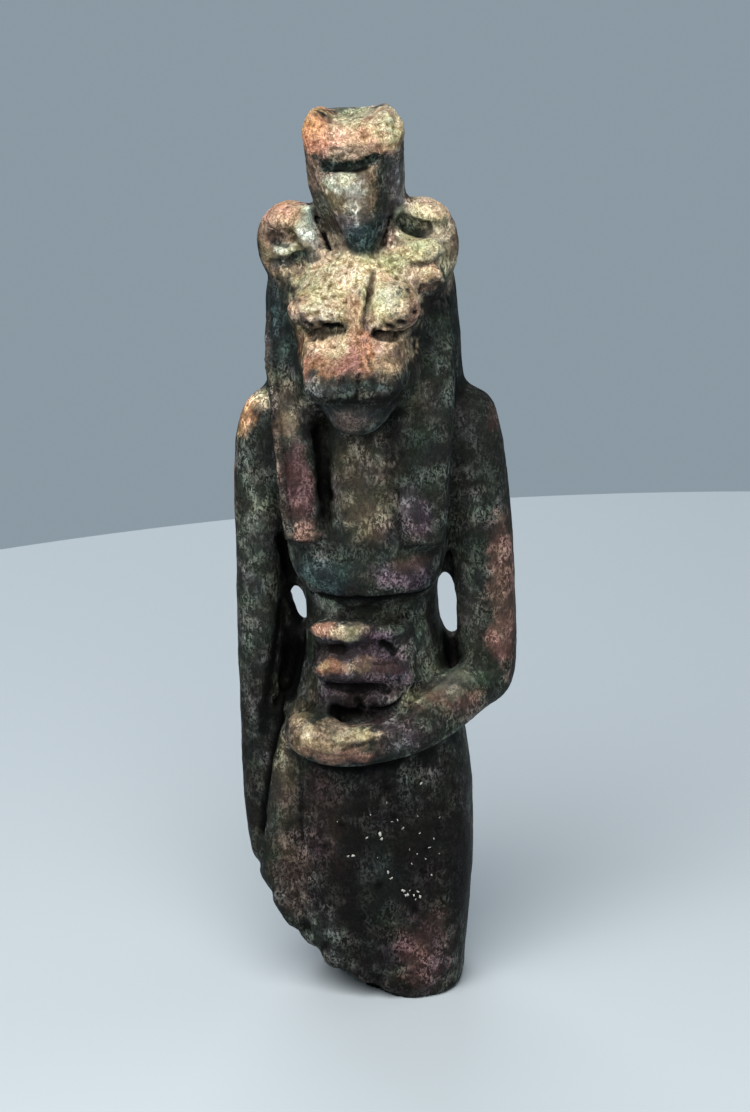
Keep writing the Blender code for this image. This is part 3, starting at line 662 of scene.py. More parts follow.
@dataclass
class Wig:
    """The heavy wig with its streaked sides, and the lappet over each shoulder with its raised rim."""

    name: str = "wig"
    rim_height: float = 0.20
    groove_depth: float = 0.20

    def lumps(self) -> Sequence[Lump]:
        """The inner edge of her left lappet beside the chin."""
        return (Lump((3.0, -4.6, 38.9), (1.0, 0.75, 1.9)),)

    def strokes(self) -> Sequence[Stroke]:
        """The rim of her right lappet, the grooves beside the chest panel and the worn strands, with painted
        shade along the rim, in the grooves and under the lappets' ends.
        """
        rim = ((-6.0, -2.0, 46.6), (-5.8, -3.4, 43.6), (-5.5, -4.8, 40.5), (-5.25, -5.6, 37.9),
               (-5.05, -5.9, 35.0), (-4.9, -5.9, 32.6))
        inner = tuple((x + 0.42, y - 0.12, z) for x, y, z in rim)
        outer = tuple((x - 0.30, y + 0.45, z) for x, y, z in rim)
        strands = [
            Stroke(((x, y, 47.5), (x + 0.05, y - 0.1, 44.0), (x, y, 41.0)), 0.22, -0.09, Tint.BLACK_BROWN,
                   0.3)
            for x, y in ((5.2, -3.3), (5.75, -2.7), (6.1, -1.9), (6.25, -1.0), (-5.4, -3.3), (-5.9, -2.0),
                         (-6.15, -1.1))
        ]
        return (
            Stroke(rim, 0.28, self.rim_height, Tint.BROWN, 0.5),
            # painted shade: a black-brown line along the wig's edge, and lines beside the raised rim
            Stroke(((-5.95, -3.3, 43.6), (-5.75, -3.9, 42.7), (-5.7, -4.2, 41.8), (-5.55, -4.6, 41.0),
                    (-5.4, -5.1, 40.1)), 0.20, -0.08, Tint.BLACK_BROWN, 0.9),
            Stroke(inner, 0.24, -0.12, Tint.BLACK_BROWN, 0.4),
            Stroke(outer, 0.30, -0.16, Tint.BLACK_BROWN, 0.5),
            # painted shade in the grooves beside the chest panel
            Stroke(((-2.85, -4.4, 39.2), (-2.6, -4.8, 37.5), (-2.4, -5.0, 35.3)), 0.85, -self.groove_depth,
                   Tint.NIGHT, 0.85),
            Stroke(((-2.45, -4.9, 36.3), (-2.2, -5.2, 33.9)), 0.6, -0.7 * self.groove_depth, Tint.NIGHT, 0.6),
            Stroke(((2.3, -4.8, 38.9), (2.35, -5.4, 36.5), (2.4, -5.8, 34.5)), 0.5, 0.10),
            Stroke(((2.4, -5.4, 36.0), (2.45, -5.9, 32.3)), 0.30, -0.10, Tint.BLACK_BROWN, 0.4),
            # painted shade under the ends of the lappets
            Stroke(((-5.0, -5.9, 32.2), (-3.7, -6.3, 31.95), (-2.4, -6.0, 31.9)), 0.32, -0.14,
                   Tint.BLACK_BROWN, 0.6),
            Stroke(((2.6, -6.1, 31.9), (3.8, -6.3, 31.8), (5.0, -5.9, 32.1)), 0.32, -0.12, Tint.BLACK_BROWN,
                   0.5),
            *strands,
        )

    def patches(self) -> Sequence[Patch]:
        """Teal and black-green sides, a maroon lappet and a dark one, and painted shade in the pocket beside
        her chin.
        """
        return (
            Patch((-5.6, -1.5, 44.5), (1.6, 3.4, 4.5), Tint.TEAL, 0.85, 0.1),
            Patch((-4.4, -3.6, 45.6), (0.7, 1.4, 2.4), Tint.TEAL, 0.6, 0.1),
            Patch((-4.6, -4.2, 41.6), (1.5, 1.6, 1.4), Tint.OLIVE, 0.7, 0.3),
            Patch((5.4, -1.6, 44.5), (1.7, 3.6, 4.6), Tint.DARK_GREEN, 0.9, 0.1),
            Patch((3.9, -4.2, 41.8), (1.0, 1.4, 1.4), Tint.OLIVE, 0.5, 0.2),
            Patch((5.4, -3.2, 44.8), (0.8, 1.0, 1.6), Tint.GREY_GREEN, 0.18, 0.2),
            Patch((-4.6, -5.0, 40.1), (1.0, 1.2, 0.9), Tint.TAN, 0.55, 0.5),
            # painted shade in the pocket between her right lappet and the chin
            Patch((-3.1, -4.8, 40.2), (0.9, 1.5, 1.3), Tint.BLACK_BROWN, 0.75, 0.0),
            Patch((-3.9, -6.0, 36.2), (1.3, 1.4, 3.2), Tint.MAROON, 0.9, 0.3),
            Patch((-3.7, -6.3, 33.0), (1.0, 0.9, 1.0), Tint.ROSE, 0.35, 0.4),
            Patch((3.9, -5.4, 37.2), (1.8, 1.6, 2.6), Tint.DARK_GREEN, 0.8, 0.1),
            Patch((3.6, -6.0, 33.8), (1.2, 1.2, 1.4), Tint.PURPLE, 0.55, 0.2),
            Patch((3.0, -5.9, 35.0), (0.7, 0.9, 1.3), Tint.SLATE, 0.35, 0.2),
            Patch((0.0, 4.8, 43.0), (5.0, 2.2, 6.0), Tint.DARK_GREEN, 0.6, 0.1),
            Patch((1.5, 4.6, 47.5), (3.0, 2.4, 2.2), Tint.GREY_GREEN, 0.6, 0.4),
            Patch((-2.6, 5.4, 41.0), (2.2, 2.0, 3.6), Tint.GREY_GREEN, 0.45, 0.1),
        )


@dataclass
class Chest:
    """The panel between the lappets, and the bust that overhangs the waist."""

    name: str = "chest"
    ledge_depth: float = 0.09
    overhang_depth: float = 0.34

    def lumps(self) -> Sequence[Lump]:
        """None: the solid has the bust."""
        return ()

    def strokes(self) -> Sequence[Stroke]:
        """The ledge over the bust, and the shadow under it."""
        return (
            Stroke(((-4.6, -5.4, 31.6), (-2.1, -5.9, 31.3), (-0.2, -6.1, 31.2), (2.4, -6.0, 31.3),
                    (4.7, -5.5, 31.8)), 0.34, -self.ledge_depth, Tint.GREY_GREEN, 0.3),
            Stroke(((-4.3, -4.9, 30.4), (-2.1, -6.0, 30.2), (0.0, -6.3, 30.1), (2.3, -6.1, 30.2),
                    (4.5, -4.9, 30.5)), 0.9, 0.12),
            # painted shade: near-black pressed in under the bust
            Stroke(((-3.8, -3.2, 28.3), (-2.7, -4.8, 28.2), (-0.3, -5.4, 28.2), (2.2, -5.2, 28.2),
                    (3.9, -3.6, 28.4)), 0.72, -self.overhang_depth, Tint.NIGHT, 1.0),
            Stroke(((-1.3, -5.7, 38.0), (-1.5, -5.9, 34.0)), 0.3, 0.07),
            Stroke(((0.4, -5.7, 36.0), (0.6, -5.9, 33.4)), 0.5, 0.08),
        )

    def patches(self) -> Sequence[Patch]:
        """An olive panel, a teal half and a purple half of the bust, a painted shadow band under it, and a
        pale teal waist that is partly a painted highlight.
        """
        return (
            Patch((0.2, -5.4, 36.2), (2.1, 1.5, 3.8), Tint.OLIVE, 0.72, 0.2),
            Patch((0.5, -5.8, 33.8), (1.7, 1.0, 1.4), Tint.TAN, 0.18, 0.3),
            Patch((-2.6, -5.6, 30.2), (2.6, 1.6, 1.3), Tint.TEAL, 0.85, 0.1),
            Patch((2.6, -5.6, 30.0), (2.2, 1.4, 1.1), Tint.PURPLE, 0.85, 0.2),
            Patch((3.2, -5.6, 31.0), (1.6, 1.0, 0.5), Tint.MAROON, 0.6, 0.3),
            # a painted shadow band under the bust
            Patch((0.2, -4.9, 28.3), (4.6, 1.6, 0.65), Tint.BLACK_BROWN, 0.85, 0.0),
            # pale grey on the waist, partly a painted highlight
            Patch((-3.1, -4.0, 27.3), (1.5, 1.2, 0.75), Tint.PALE_GREY, 0.35, 0.3),
            Patch((0.8, -4.6, 27.2), (2.0, 1.2, 0.5), Tint.GREY_GREEN, 0.4, 0.2),
            Patch((3.6, -3.6, 25.0), (1.2, 1.6, 2.8), Tint.GREY_GREEN, 0.6, 0.2),
        )


@dataclass
class Emblem:
    """The worn emblem above the hand: three rolls, the pit under them and a rim on its left side."""

    name: str = "emblem"
    groove_depth: float = 0.34
    pit_depth: float = 0.40

    def lumps(self) -> Sequence[Lump]:
        """The rounded upper two rolls."""
        return (
            Lump((-1.7, -5.2, 26.2), (2.1, 0.72, 0.7), (0.0, 3.0, 0.0)),
            Lump((-1.6, -5.55, 23.75), (2.1, 0.78, 0.8)),
        )

    def strokes(self) -> Sequence[Stroke]:
        """The grooves between the rolls, the pit, the small box at their left end and the rim, with painted
        shade in the grooves, the pit and round the box.
        """
        box = ((0.5, -6.1, 24.4), (2.0, -5.6, 24.15), (1.95, -5.4, 22.9), (0.5, -5.8, 22.9),
               (0.5, -6.1, 24.4))
        return (
            # painted shade: near-black in the grooves, the pit and round the box
            Stroke(((-3.2, -4.6, 24.9), (-1.6, -5.0, 25.0)), 0.55, -0.5 * self.groove_depth, Tint.NIGHT, 0.6),
            Stroke(((1.0, -5.4, 25.2), (1.6, -5.2, 24.8)), 0.5, -0.7 * self.groove_depth, Tint.NIGHT, 0.85),
            Stroke(((-0.9, -5.0, 25.0), (0.6, -5.2, 25.0)), 0.8, 0.22),
            Stroke(((-2.6, -4.7, 22.5), (-1.2, -5.0, 22.2), (0.2, -5.2, 22.3), (1.2, -5.2, 22.0)), 0.5,
                   -0.5 * self.groove_depth, Tint.NIGHT, 0.75),
            Stroke(((-2.3, -5.0, 20.7), (-1.7, -4.9, 20.2), (-0.9, -4.9, 20.5)), 0.62, -self.pit_depth,
                   Tint.NIGHT, 0.9),
            Stroke(((-0.7, -5.3, 21.5), (-0.5, -5.2, 20.9)), 0.40, -0.3, Tint.NIGHT, 0.95),
            Stroke(((0.2, -5.5, 20.6), (1.4, -5.3, 20.9), (2.2, -5.1, 21.6)), 0.34, -0.22, Tint.NIGHT, 0.85),
            Stroke(((-0.2, -5.5, 21.4), (0.9, -5.6, 21.3), (2.0, -5.2, 21.4)), 0.40, 0.14),
            Stroke(box, 0.22, -0.12, Tint.NIGHT, 0.5),
            Stroke(((2.9, -4.2, 26.2), (3.1, -4.5, 24.5), (3.1, -4.6, 22.6)), 0.7, 0.30),
            Stroke(((1.6, -5.4, 26.3), (2.4, -5.0, 26.2), (3.0, -4.0, 26.6)), 0.7, 0.22),
        )

    def patches(self) -> Sequence[Patch]:
        """Pinkish cream on the ends of the rolls at her right, partly a painted highlight, purple-brown along
        the rest, and painted shade in the pit under them.
        """
        return (
            Patch((-0.5, -5.2, 23.4), (3.4, 1.6, 3.2), Tint.PURPLE, 0.75, 0.2),
            # pinkish cream on the ends of the rolls, partly a painted highlight
            Patch((-2.4, -5.8, 26.3), (1.3, 0.9, 0.6), Tint.DUSTY, 0.70, 0.8),
            Patch((-1.2, -5.9, 26.4), (1.6, 0.8, 0.7), Tint.CREAM, 0.42, 0.8),
            Patch((0.9, -5.7, 25.9), (1.2, 0.8, 0.6), Tint.PURPLE, 0.6, 0.3),
            Patch((-2.5, -6.2, 24.0), (1.2, 0.8, 0.65), Tint.DUSTY, 0.70, 0.8),
            Patch((-2.9, -6.0, 24.1), (0.6, 0.6, 0.4), Tint.CREAM, 0.35, 0.8),
            Patch((-0.8, -6.2, 24.2), (1.2, 0.7, 0.5), Tint.TAN, 0.35, 0.5),
            Patch((1.3, -5.9, 23.8), (1.0, 0.8, 0.7), Tint.MAROON, 0.55, 0.3),
            # painted shade in the pit under the rolls
            Patch((-0.6, -5.2, 21.3), (2.3, 1.1, 1.1), Tint.BLACK_BROWN, 0.75, 0.0),
            Patch((-3.9, -4.2, 22.0), (0.8, 1.6, 1.8), Tint.OLIVE, 0.6, 0.4),
        )


@dataclass
class Arms:
    """Her right arm hanging straight, and her left bent across the waist with the hand laid flat."""

    name: str = "arms"
    finger_depth: float = 0.08
    gap_depth: float = 0.30

    def lumps(self) -> Sequence[Lump]:
        """The heel of the hand and the finger ends."""
        return (
            Lump((-3.9, -5.5, 19.75), (0.95, 0.95, 0.6), (0.0, 20.0, 0.0)),
            Lump((-2.3, -6.2, 19.55), (1.2, 0.85, 0.55)),
        )

    def strokes(self) -> Sequence[Stroke]:
        """The lines between the fingers, the gap beside the hanging arm and the edge along the forearm, with
        painted shade in the gap and down the arms' inner sides.
        """
        return (
            Stroke(((-3.6, -6.5, 19.55), (-2.4, -7.1, 19.25), (-1.2, -7.3, 19.05), (-0.3, -7.3, 19.15)), 0.24,
                   -self.finger_depth, Tint.BROWN, 0.5),
            Stroke(((-1.6, -7.4, 18.8), (-0.5, -7.4, 19.1), (0.5, -7.2, 19.6)), 0.22,
                   -0.8 * self.finger_depth, Tint.BLACK_BROWN, 0.6),
            Stroke(((-3.9, -6.4, 18.7), (-2.6, -7.0, 18.45), (-1.4, -7.3, 18.4)), 0.20,
                   -0.6 * self.finger_depth, Tint.BROWN, 0.4),
            Stroke(((0.4, -6.6, 20.2), (2.5, -5.4, 21.1), (4.5, -4.1, 21.9), (6.3, -2.9, 22.9)), 0.40, 0.12),
            # painted shade: near-black in the gap beside her right arm, down the arms' inner sides and on the
            # webs beside the body
            Stroke(((-5.9, -0.4, 21.2), (-6.3, -2.5, 19.1), (-6.9, -2.9, 16.0), (-7.4, -2.9, 13.2),
                    (-7.6, -2.8, 11.5)), 0.6, -self.gap_depth, Tint.NIGHT, 0.95),
            Stroke(((-5.2, 0.9, 24.8), (-5.5, 0.3, 22.8), (-5.8, -0.8, 20.9), (-6.2, -2.3, 19.2)), 1.1, -0.06,
                   Tint.NIGHT, 1.0),
            Stroke(((-4.7, -0.6, 24.2), (-4.9, -1.4, 22.4), (-5.5, -2.2, 20.4)), 0.8, -0.10, Tint.NIGHT,
                   0.95),
            Stroke(((-5.9, -1.2, 31.4), (-5.8, -0.6, 30.0), (-5.7, 0.1, 28.6)), 0.7, -0.10, Tint.NIGHT, 0.95),
            Stroke(((-6.1, -0.9, 26.8), (-6.1, -1.2, 25.0), (-6.5, -1.7, 23.3), (-6.8, -2.0, 21.5),
                    (-7.1, -2.2, 19.9), (-7.3, -2.4, 18.2)), 0.65, -0.05, Tint.NIGHT, 0.9),
            Stroke(((-5.5, 0.2, 29.4), (-5.5, 0.6, 28.2), (-5.5, 0.9, 26.6), (-5.4, 1.2, 25.2),
                    (-5.3, 1.2, 24.0)), 1.2, 0.24, Tint.NIGHT, 0.9),
            Stroke(((5.8, -0.8, 30.2), (5.9, -1.0, 28.8), (6.0, -1.0, 27.0), (5.8, -1.0, 25.4),
                    (5.5, -0.8, 23.6)), 1.1, 0.16),
            Stroke(((4.9, 0.3, 23.9), (5.2, -0.4, 22.8)), 0.9, -0.05, Tint.NIGHT, 1.0),
            Stroke(((-8.5, -1.7, 34.0), (-8.6, -1.9, 24.0), (-8.7, -2.0, 14.0)), 0.8, -0.08),
            Stroke(((8.2, -2.2, 34.0), (8.5, -2.2, 27.0)), 0.8, -0.07),
        )

    def patches(self) -> Sequence[Patch]:
        """Painted shade in the webs beside the body, orange and yellow on her right shoulder, pinkish forearm
        front, and a cream hand with a chalky painted highlight.
        """
        return (
            # painted shade in the webs between the arms and the body
            Patch((-5.2, -0.7, 22.8), (0.8, 1.9, 3.0), Tint.NIGHT, 0.95, 0.0),
            Patch((5.1, -0.2, 23.3), (0.7, 1.2, 1.3), Tint.NIGHT, 0.9, 0.0),
            Patch((-8.0, -0.6, 30.0), (1.9, 3.2, 9.0), Tint.GREY_GREEN, 0.27, 0.1),
            Patch((-8.0, -0.6, 15.0), (1.6, 3.2, 8.0), Tint.BLACK_BROWN, 0.45, 0.1),
            Patch((-8.9, -0.6, 36.4), (0.5, 2.4, 3.2), Tint.ROSE, 0.4, 0.2),
            Patch((-7.9, -0.6, 39.9), (1.0, 2.2, 1.5), Tint.ORANGE, 0.54, 0.5),
            Patch((-6.7, -1.2, 40.7), (0.9, 1.6, 0.8), Tint.CREAM, 0.42, 0.6),
            Patch((7.6, -0.4, 34.0), (2.0, 3.0, 5.5), Tint.GLAZE, 0.8, 0.1),
            Patch((8.6, -0.6, 39.2), (0.6, 1.6, 1.0), Tint.MAROON, 0.7, 0.2),
            Patch((8.8, -1.4, 28.0), (1.2, 1.6, 5.2), Tint.ROSE, 0.30, 0.2),
            Patch((8.6, -1.9, 24.6), (1.0, 1.2, 2.2), Tint.ROSE, 0.34, 0.3),
            Patch((6.6, -1.4, 26.5), (0.8, 1.8, 4.0), Tint.GREY_GREEN, 0.5, 0.1),
            Patch((5.2, -3.4, 22.3), (3.2, 1.8, 0.75), Tint.GREY_GREEN, 0.8, 0.3),
            Patch((3.6, -4.6, 21.6), (2.4, 1.2, 0.5), Tint.PALE_GREEN, 0.30, 0.5),
            Patch((5.0, -3.8, 22.6), (1.8, 1.2, 0.5), Tint.PALE_GREEN, 0.16, 0.3),
            Patch((5.2, -4.0, 20.6), (3.2, 2.0, 1.1), Tint.BROWN, 0.6, 0.1),
            Patch((5.6, -4.0, 21.2), (2.4, 1.4, 0.6), Tint.ROSE, 0.20, 0.2),
            Patch((2.0, -6.0, 19.6), (2.2, 1.6, 1.2), Tint.PURPLE, 0.5, 0.2),
            Patch((-2.6, -6.4, 19.0), (3.0, 1.6, 1.4), Tint.TAN, 0.75, 0.9),
            Patch((-3.7, -6.3, 19.5), (1.0, 1.0, 0.7), Tint.CREAM, 0.60, 0.9),
            Patch((-1.0, -6.9, 19.6), (1.8, 1.0, 0.35), Tint.CREAM, 0.55, 0.9),
            # a chalky painted highlight on the hand
            Patch((-3.3, -6.5, 19.5), (0.9, 0.8, 0.4), Tint.CHALK, 0.5, 0.9),
            Patch((-4.6, -5.4, 20.4), (0.8, 1.0, 0.7), Tint.TAN, 0.6, 0.6),
            Patch((-1.6, -7.2, 18.3), (2.2, 0.9, 0.6), Tint.ROSE, 0.45, 0.6),
            Patch((-5.0, -4.4, 20.4), (0.8, 1.4, 1.0), Tint.TAN, 0.55, 0.5),
        )


@dataclass
class Dress:
    """The close dress, with its textured edge beside the hanging arm, and the worn fracture under it."""

    name: str = "dress"
    chip_depth: float = 0.09
    chips: int = 40
    scallop_depth: float = 0.27
    ridge_height: float = 0.10
    dent_depth: float = 0.12

    def lumps(self) -> Sequence[Lump]:
        """None: the solid has the dress."""
        return ()

    def strokes(self) -> Sequence[Stroke]:
        """The edge of the dress, painted shade under the hand, small pits in the glaze darkened as painted
        shade, and the shallow bowls of the fracture.
        """
        made = [
            Stroke(((-5.5, -3.0, 19.5), (-5.9, -3.7, 17.0), (-6.2, -4.0, 14.0), (-6.4, -4.1, 11.0)), 0.55,
                   0.12),
            Stroke(((-4.7, -4.2, 18.6), (-5.0, -4.6, 15.0), (-5.1, -4.8, 11.5)), 0.40, -0.12,
                   Tint.BLACK_BROWN, 0.3),
            # painted shade under the hand
            Stroke(((-3.4, -4.9, 17.0), (-0.8, -5.2, 16.8), (1.6, -5.1, 17.2)), 1.0, -0.14, Tint.NIGHT, 0.95),
            Stroke(((-5.6, -4.6, 9.0), (-4.6, -4.9, 5.0)), 0.40, 0.08),
            Stroke(((-4.4, -5.0, 8.5), (-3.4, -5.1, 4.0)), 0.36, -0.07),
        ]
        bowls = ((-8.0, -2.4, 9.0), (-7.1, -3.8, 7.6), (-5.1, -3.9, 4.9), (-3.7, -4.4, 3.7),
                 (-2.2, -4.8, 2.8), (-0.3, -4.9, 1.5), (1.6, -4.8, 0.7))
        for x, y, z in bowls:
            made.append(Stroke(((x, y, z), (x - 0.1, y + 2.6, z - 0.9)), 0.95, -self.scallop_depth))
        ridges = ((-6.4, -4.1, 6.8), (-4.4, -4.2, 4.3), (-2.9, -4.7, 3.2), (-1.0, -4.9, 2.1),
                  (0.7, -4.9, 1.2))
        for x, y, z in ridges:
            made.append(Stroke(((x, y, z), (x - 0.1, y + 2.0, z - 0.7)), 0.40, self.ridge_height))
        turn = math.radians(137.5)
        for i in range(self.chips):
            share = (i + 0.5) / self.chips
            z = 0.6 + 11.0 * share
            x = -2.6 - 6.6 * share + 0.35 * math.sin(3.1 * i)
            y = 3.9 * math.sin(turn * i)
            width = 0.65 + 0.35 * math.sin(1.7 * i) ** 2
            made.append(Stroke(((x, y, z - 0.4 * y),), width, -self.chip_depth))
        dents = ((-2.2, 12.6), (1.4, 13.2), (3.6, 11.0), (0.2, 8.4), (-1.0, 6.0), (4.6, 12.2), (2.6, 6.6),
                 (-3.4, 11.2), (0.9, 15.2), (3.2, 9.3))
        # the small pits are darkened with near-black, as painted shade
        for x, z in dents:
            made.append(Stroke(((x, -5.2, z),), 0.42, -self.dent_depth, Tint.NIGHT, 0.5))
        return made

    def patches(self) -> Sequence[Patch]:
        """Maroon-black glaze, a teal centre, a reddish lower side, an olive edge and a grey fracture."""
        return (
            Patch((0.0, -2.0, 9.0), (7.2, 7.0, 11.0), Tint.BLACK_BROWN, 0.95, 0.0),
            Patch((-3.4, -4.6, 13.0), (1.8, 1.2, 4.5), Tint.MAROON, 0.20, 0.0),
            Patch((0.4, -5.0, 8.6), (1.8, 1.2, 4.0), Tint.DARK_GREEN, 0.6, 0.0),
            Patch((5.5, -3.0, 9.0), (0.9, 2.0, 6.0), Tint.BLACK_BROWN, 0.8, 0.0),
            Patch((3.2, -4.6, 3.6), (1.9, 1.6, 3.2), Tint.MAROON, 0.55, 0.2),
            Patch((2.6, -4.9, 3.4), (0.9, 0.8, 1.8), Tint.ROSE, 0.10, 0.0),
            Patch((-5.9, -3.4, 15.0), (1.1, 1.6, 5.0), Tint.OLIVE, 0.65, 0.1),
            Patch((-5.7, -3.7, 16.4), (0.6, 1.2, 3.4), Tint.TAN, 0.14, 0.9),
            Patch((-5.6, -4.0, 9.0), (1.4, 1.6, 3.0), Tint.BROWN, 0.45, 0.1),
            Patch((-3.8, -4.6, 5.2), (1.8, 1.4, 2.2), Tint.GREY_GREEN, 0.20, 0.0),
            Patch((-5.5, 0.0, 3.5), (3.6, 5.0, 3.0), Tint.GREY_GREEN, 0.15, 0.1),
        )


@dataclass
class BackPillar:
    """The plain pillar up her back, with the cord hole across it."""

    name: str = "back_pillar"
    rub_height: float = 34.0

    def lumps(self) -> Sequence[Lump]:
        """None: the solid has the pillar."""
        return ()

    def strokes(self) -> Sequence[Stroke]:
        """Cord wear beside the hole, and long shallow tool marks."""
        rub = self.rub_height
        return (
            Stroke(((-2.7, 5.8, rub - 0.2), (-2.7, 5.8, rub + 1.4)), 0.7, -0.16),
            Stroke(((2.7, 5.8, rub - 0.2), (2.7, 5.8, rub + 1.4)), 0.7, -0.16),
            Stroke(((-0.9, 7.0, 42.0), (-1.0, 7.0, 24.0), (-0.8, 7.0, 8.0)), 0.6, -0.07),
            Stroke(((1.1, 7.0, 38.0), (1.0, 7.0, 20.0), (1.2, 7.0, 6.0)), 0.5, -0.06),
        )

    def patches(self) -> Sequence[Patch]:
        """Dark glaze with pale crust at the top and foot of the pillar."""
        return (
            Patch((-5.0, 3.0, 32.0), (2.4, 2.6, 5.0), Tint.BROWN, 0.5, 0.1),
            Patch((5.2, 3.0, 24.0), (2.6, 2.6, 4.0), Tint.OLIVE, 0.6, 0.2),
            Patch((-4.5, 3.5, 13.0), (2.4, 2.4, 5.0), Tint.BLACK_BROWN, 0.7, 0.0),
            Patch((4.0, 4.2, 40.5), (2.0, 1.6, 2.4), Tint.SLATE, 0.5, 0.1),
            Patch((0.0, 6.4, 24.0), (3.4, 2.4, 22.0), Tint.DARK_GREEN, 0.6, 0.1),
            Patch((0.4, 6.8, 43.8), (2.4, 1.4, 1.6), Tint.TAN, 0.55, 0.6),
            Patch((-0.6, 6.9, 12.0), (1.6, 0.8, 3.5), Tint.MAROON, 0.5, 0.1),
            Patch((0.6, 6.9, 28.0), (1.6, 0.8, 3.0), Tint.GREY_GREEN, 0.5, 0.3),
            Patch((0.0, 6.6, 1.6), (2.6, 1.4, 1.4), Tint.TAN, 0.4, 0.5),
        )


@dataclass(frozen=True)
class ShaderGroup:
    """A reusable node group for felted mottling, built once and placed in each material."""

    name: str = "felted_mottle"

    def build(self) -> bpy.types.NodeTree:
        """Makes the group, or finds it.

        Returns:
            The group, with the outputs Strand and Grain.
        """
        if self.name in bpy.data.node_groups:
            return bpy.data.node_groups[self.name]
        tree = bpy.data.node_groups.new(self.name, "ShaderNodeTree")
        tree.interface.new_socket("Vector", in_out="INPUT", socket_type="NodeSocketVector")
        for socket, value in (("Scale", 3000.0), ("Curl", 1.2), ("Thickness", 0.09)):
            made = tree.interface.new_socket(socket, in_out="INPUT", socket_type="NodeSocketFloat")
            made.default_value = value
        for socket in ("Strand", "Grain"):
            tree.interface.new_socket(socket, in_out="OUTPUT", socket_type="NodeSocketFloat")
        start = tree.nodes.new("NodeGroupInput")
        end = tree.nodes.new("NodeGroupOutput")
        swell = tree.nodes.new("ShaderNodeTexNoise")
        swell.inputs["Detail"].default_value = 2.5
        swell.inputs["Roughness"].default_value = 0.62
        tree.links.new(start.outputs["Vector"], swell.inputs["Vector"])
        tree.links.new(start.outputs["Scale"], swell.inputs["Scale"])
        tree.links.new(start.outputs["Curl"], swell.inputs["Distortion"])
        level = tree.nodes.new("ShaderNodeMath")
        level.operation = "SUBTRACT"
        level.inputs[1].default_value = 0.5
        tree.links.new(swell.outputs["Fac"], level.inputs[0])
        away = tree.nodes.new("ShaderNodeMath")
        away.operation = "ABSOLUTE"
        tree.links.new(level.outputs[0], away.inputs[0])
        strand = tree.nodes.new("ShaderNodeMapRange")
        strand.interpolation_type = "SMOOTHSTEP"
        strand.inputs["To Min"].default_value = 1.0
        strand.inputs["To Max"].default_value = 0.0
        tree.links.new(away.outputs[0], strand.inputs["Value"])
        tree.links.new(start.outputs["Thickness"], strand.inputs["From Max"])
        tree.links.new(strand.outputs["Result"], end.inputs["Strand"])
        finer = tree.nodes.new("ShaderNodeMath")
        finer.operation = "MULTIPLY"
        finer.inputs[1].default_value = 1.9
        tree.links.new(start.outputs["Scale"], finer.inputs[0])
        grain = tree.nodes.new("ShaderNodeTexNoise")
        grain.inputs["Detail"].default_value = 2.0
        grain.inputs["Roughness"].default_value = 0.6
        grain.inputs["Distortion"].default_value = 0.6
        tree.links.new(start.outputs["Vector"], grain.inputs["Vector"])
        tree.links.new(finer.outputs[0], grain.inputs["Scale"])
        tree.links.new(grain.outputs["Fac"], end.inputs["Grain"])
        return tree


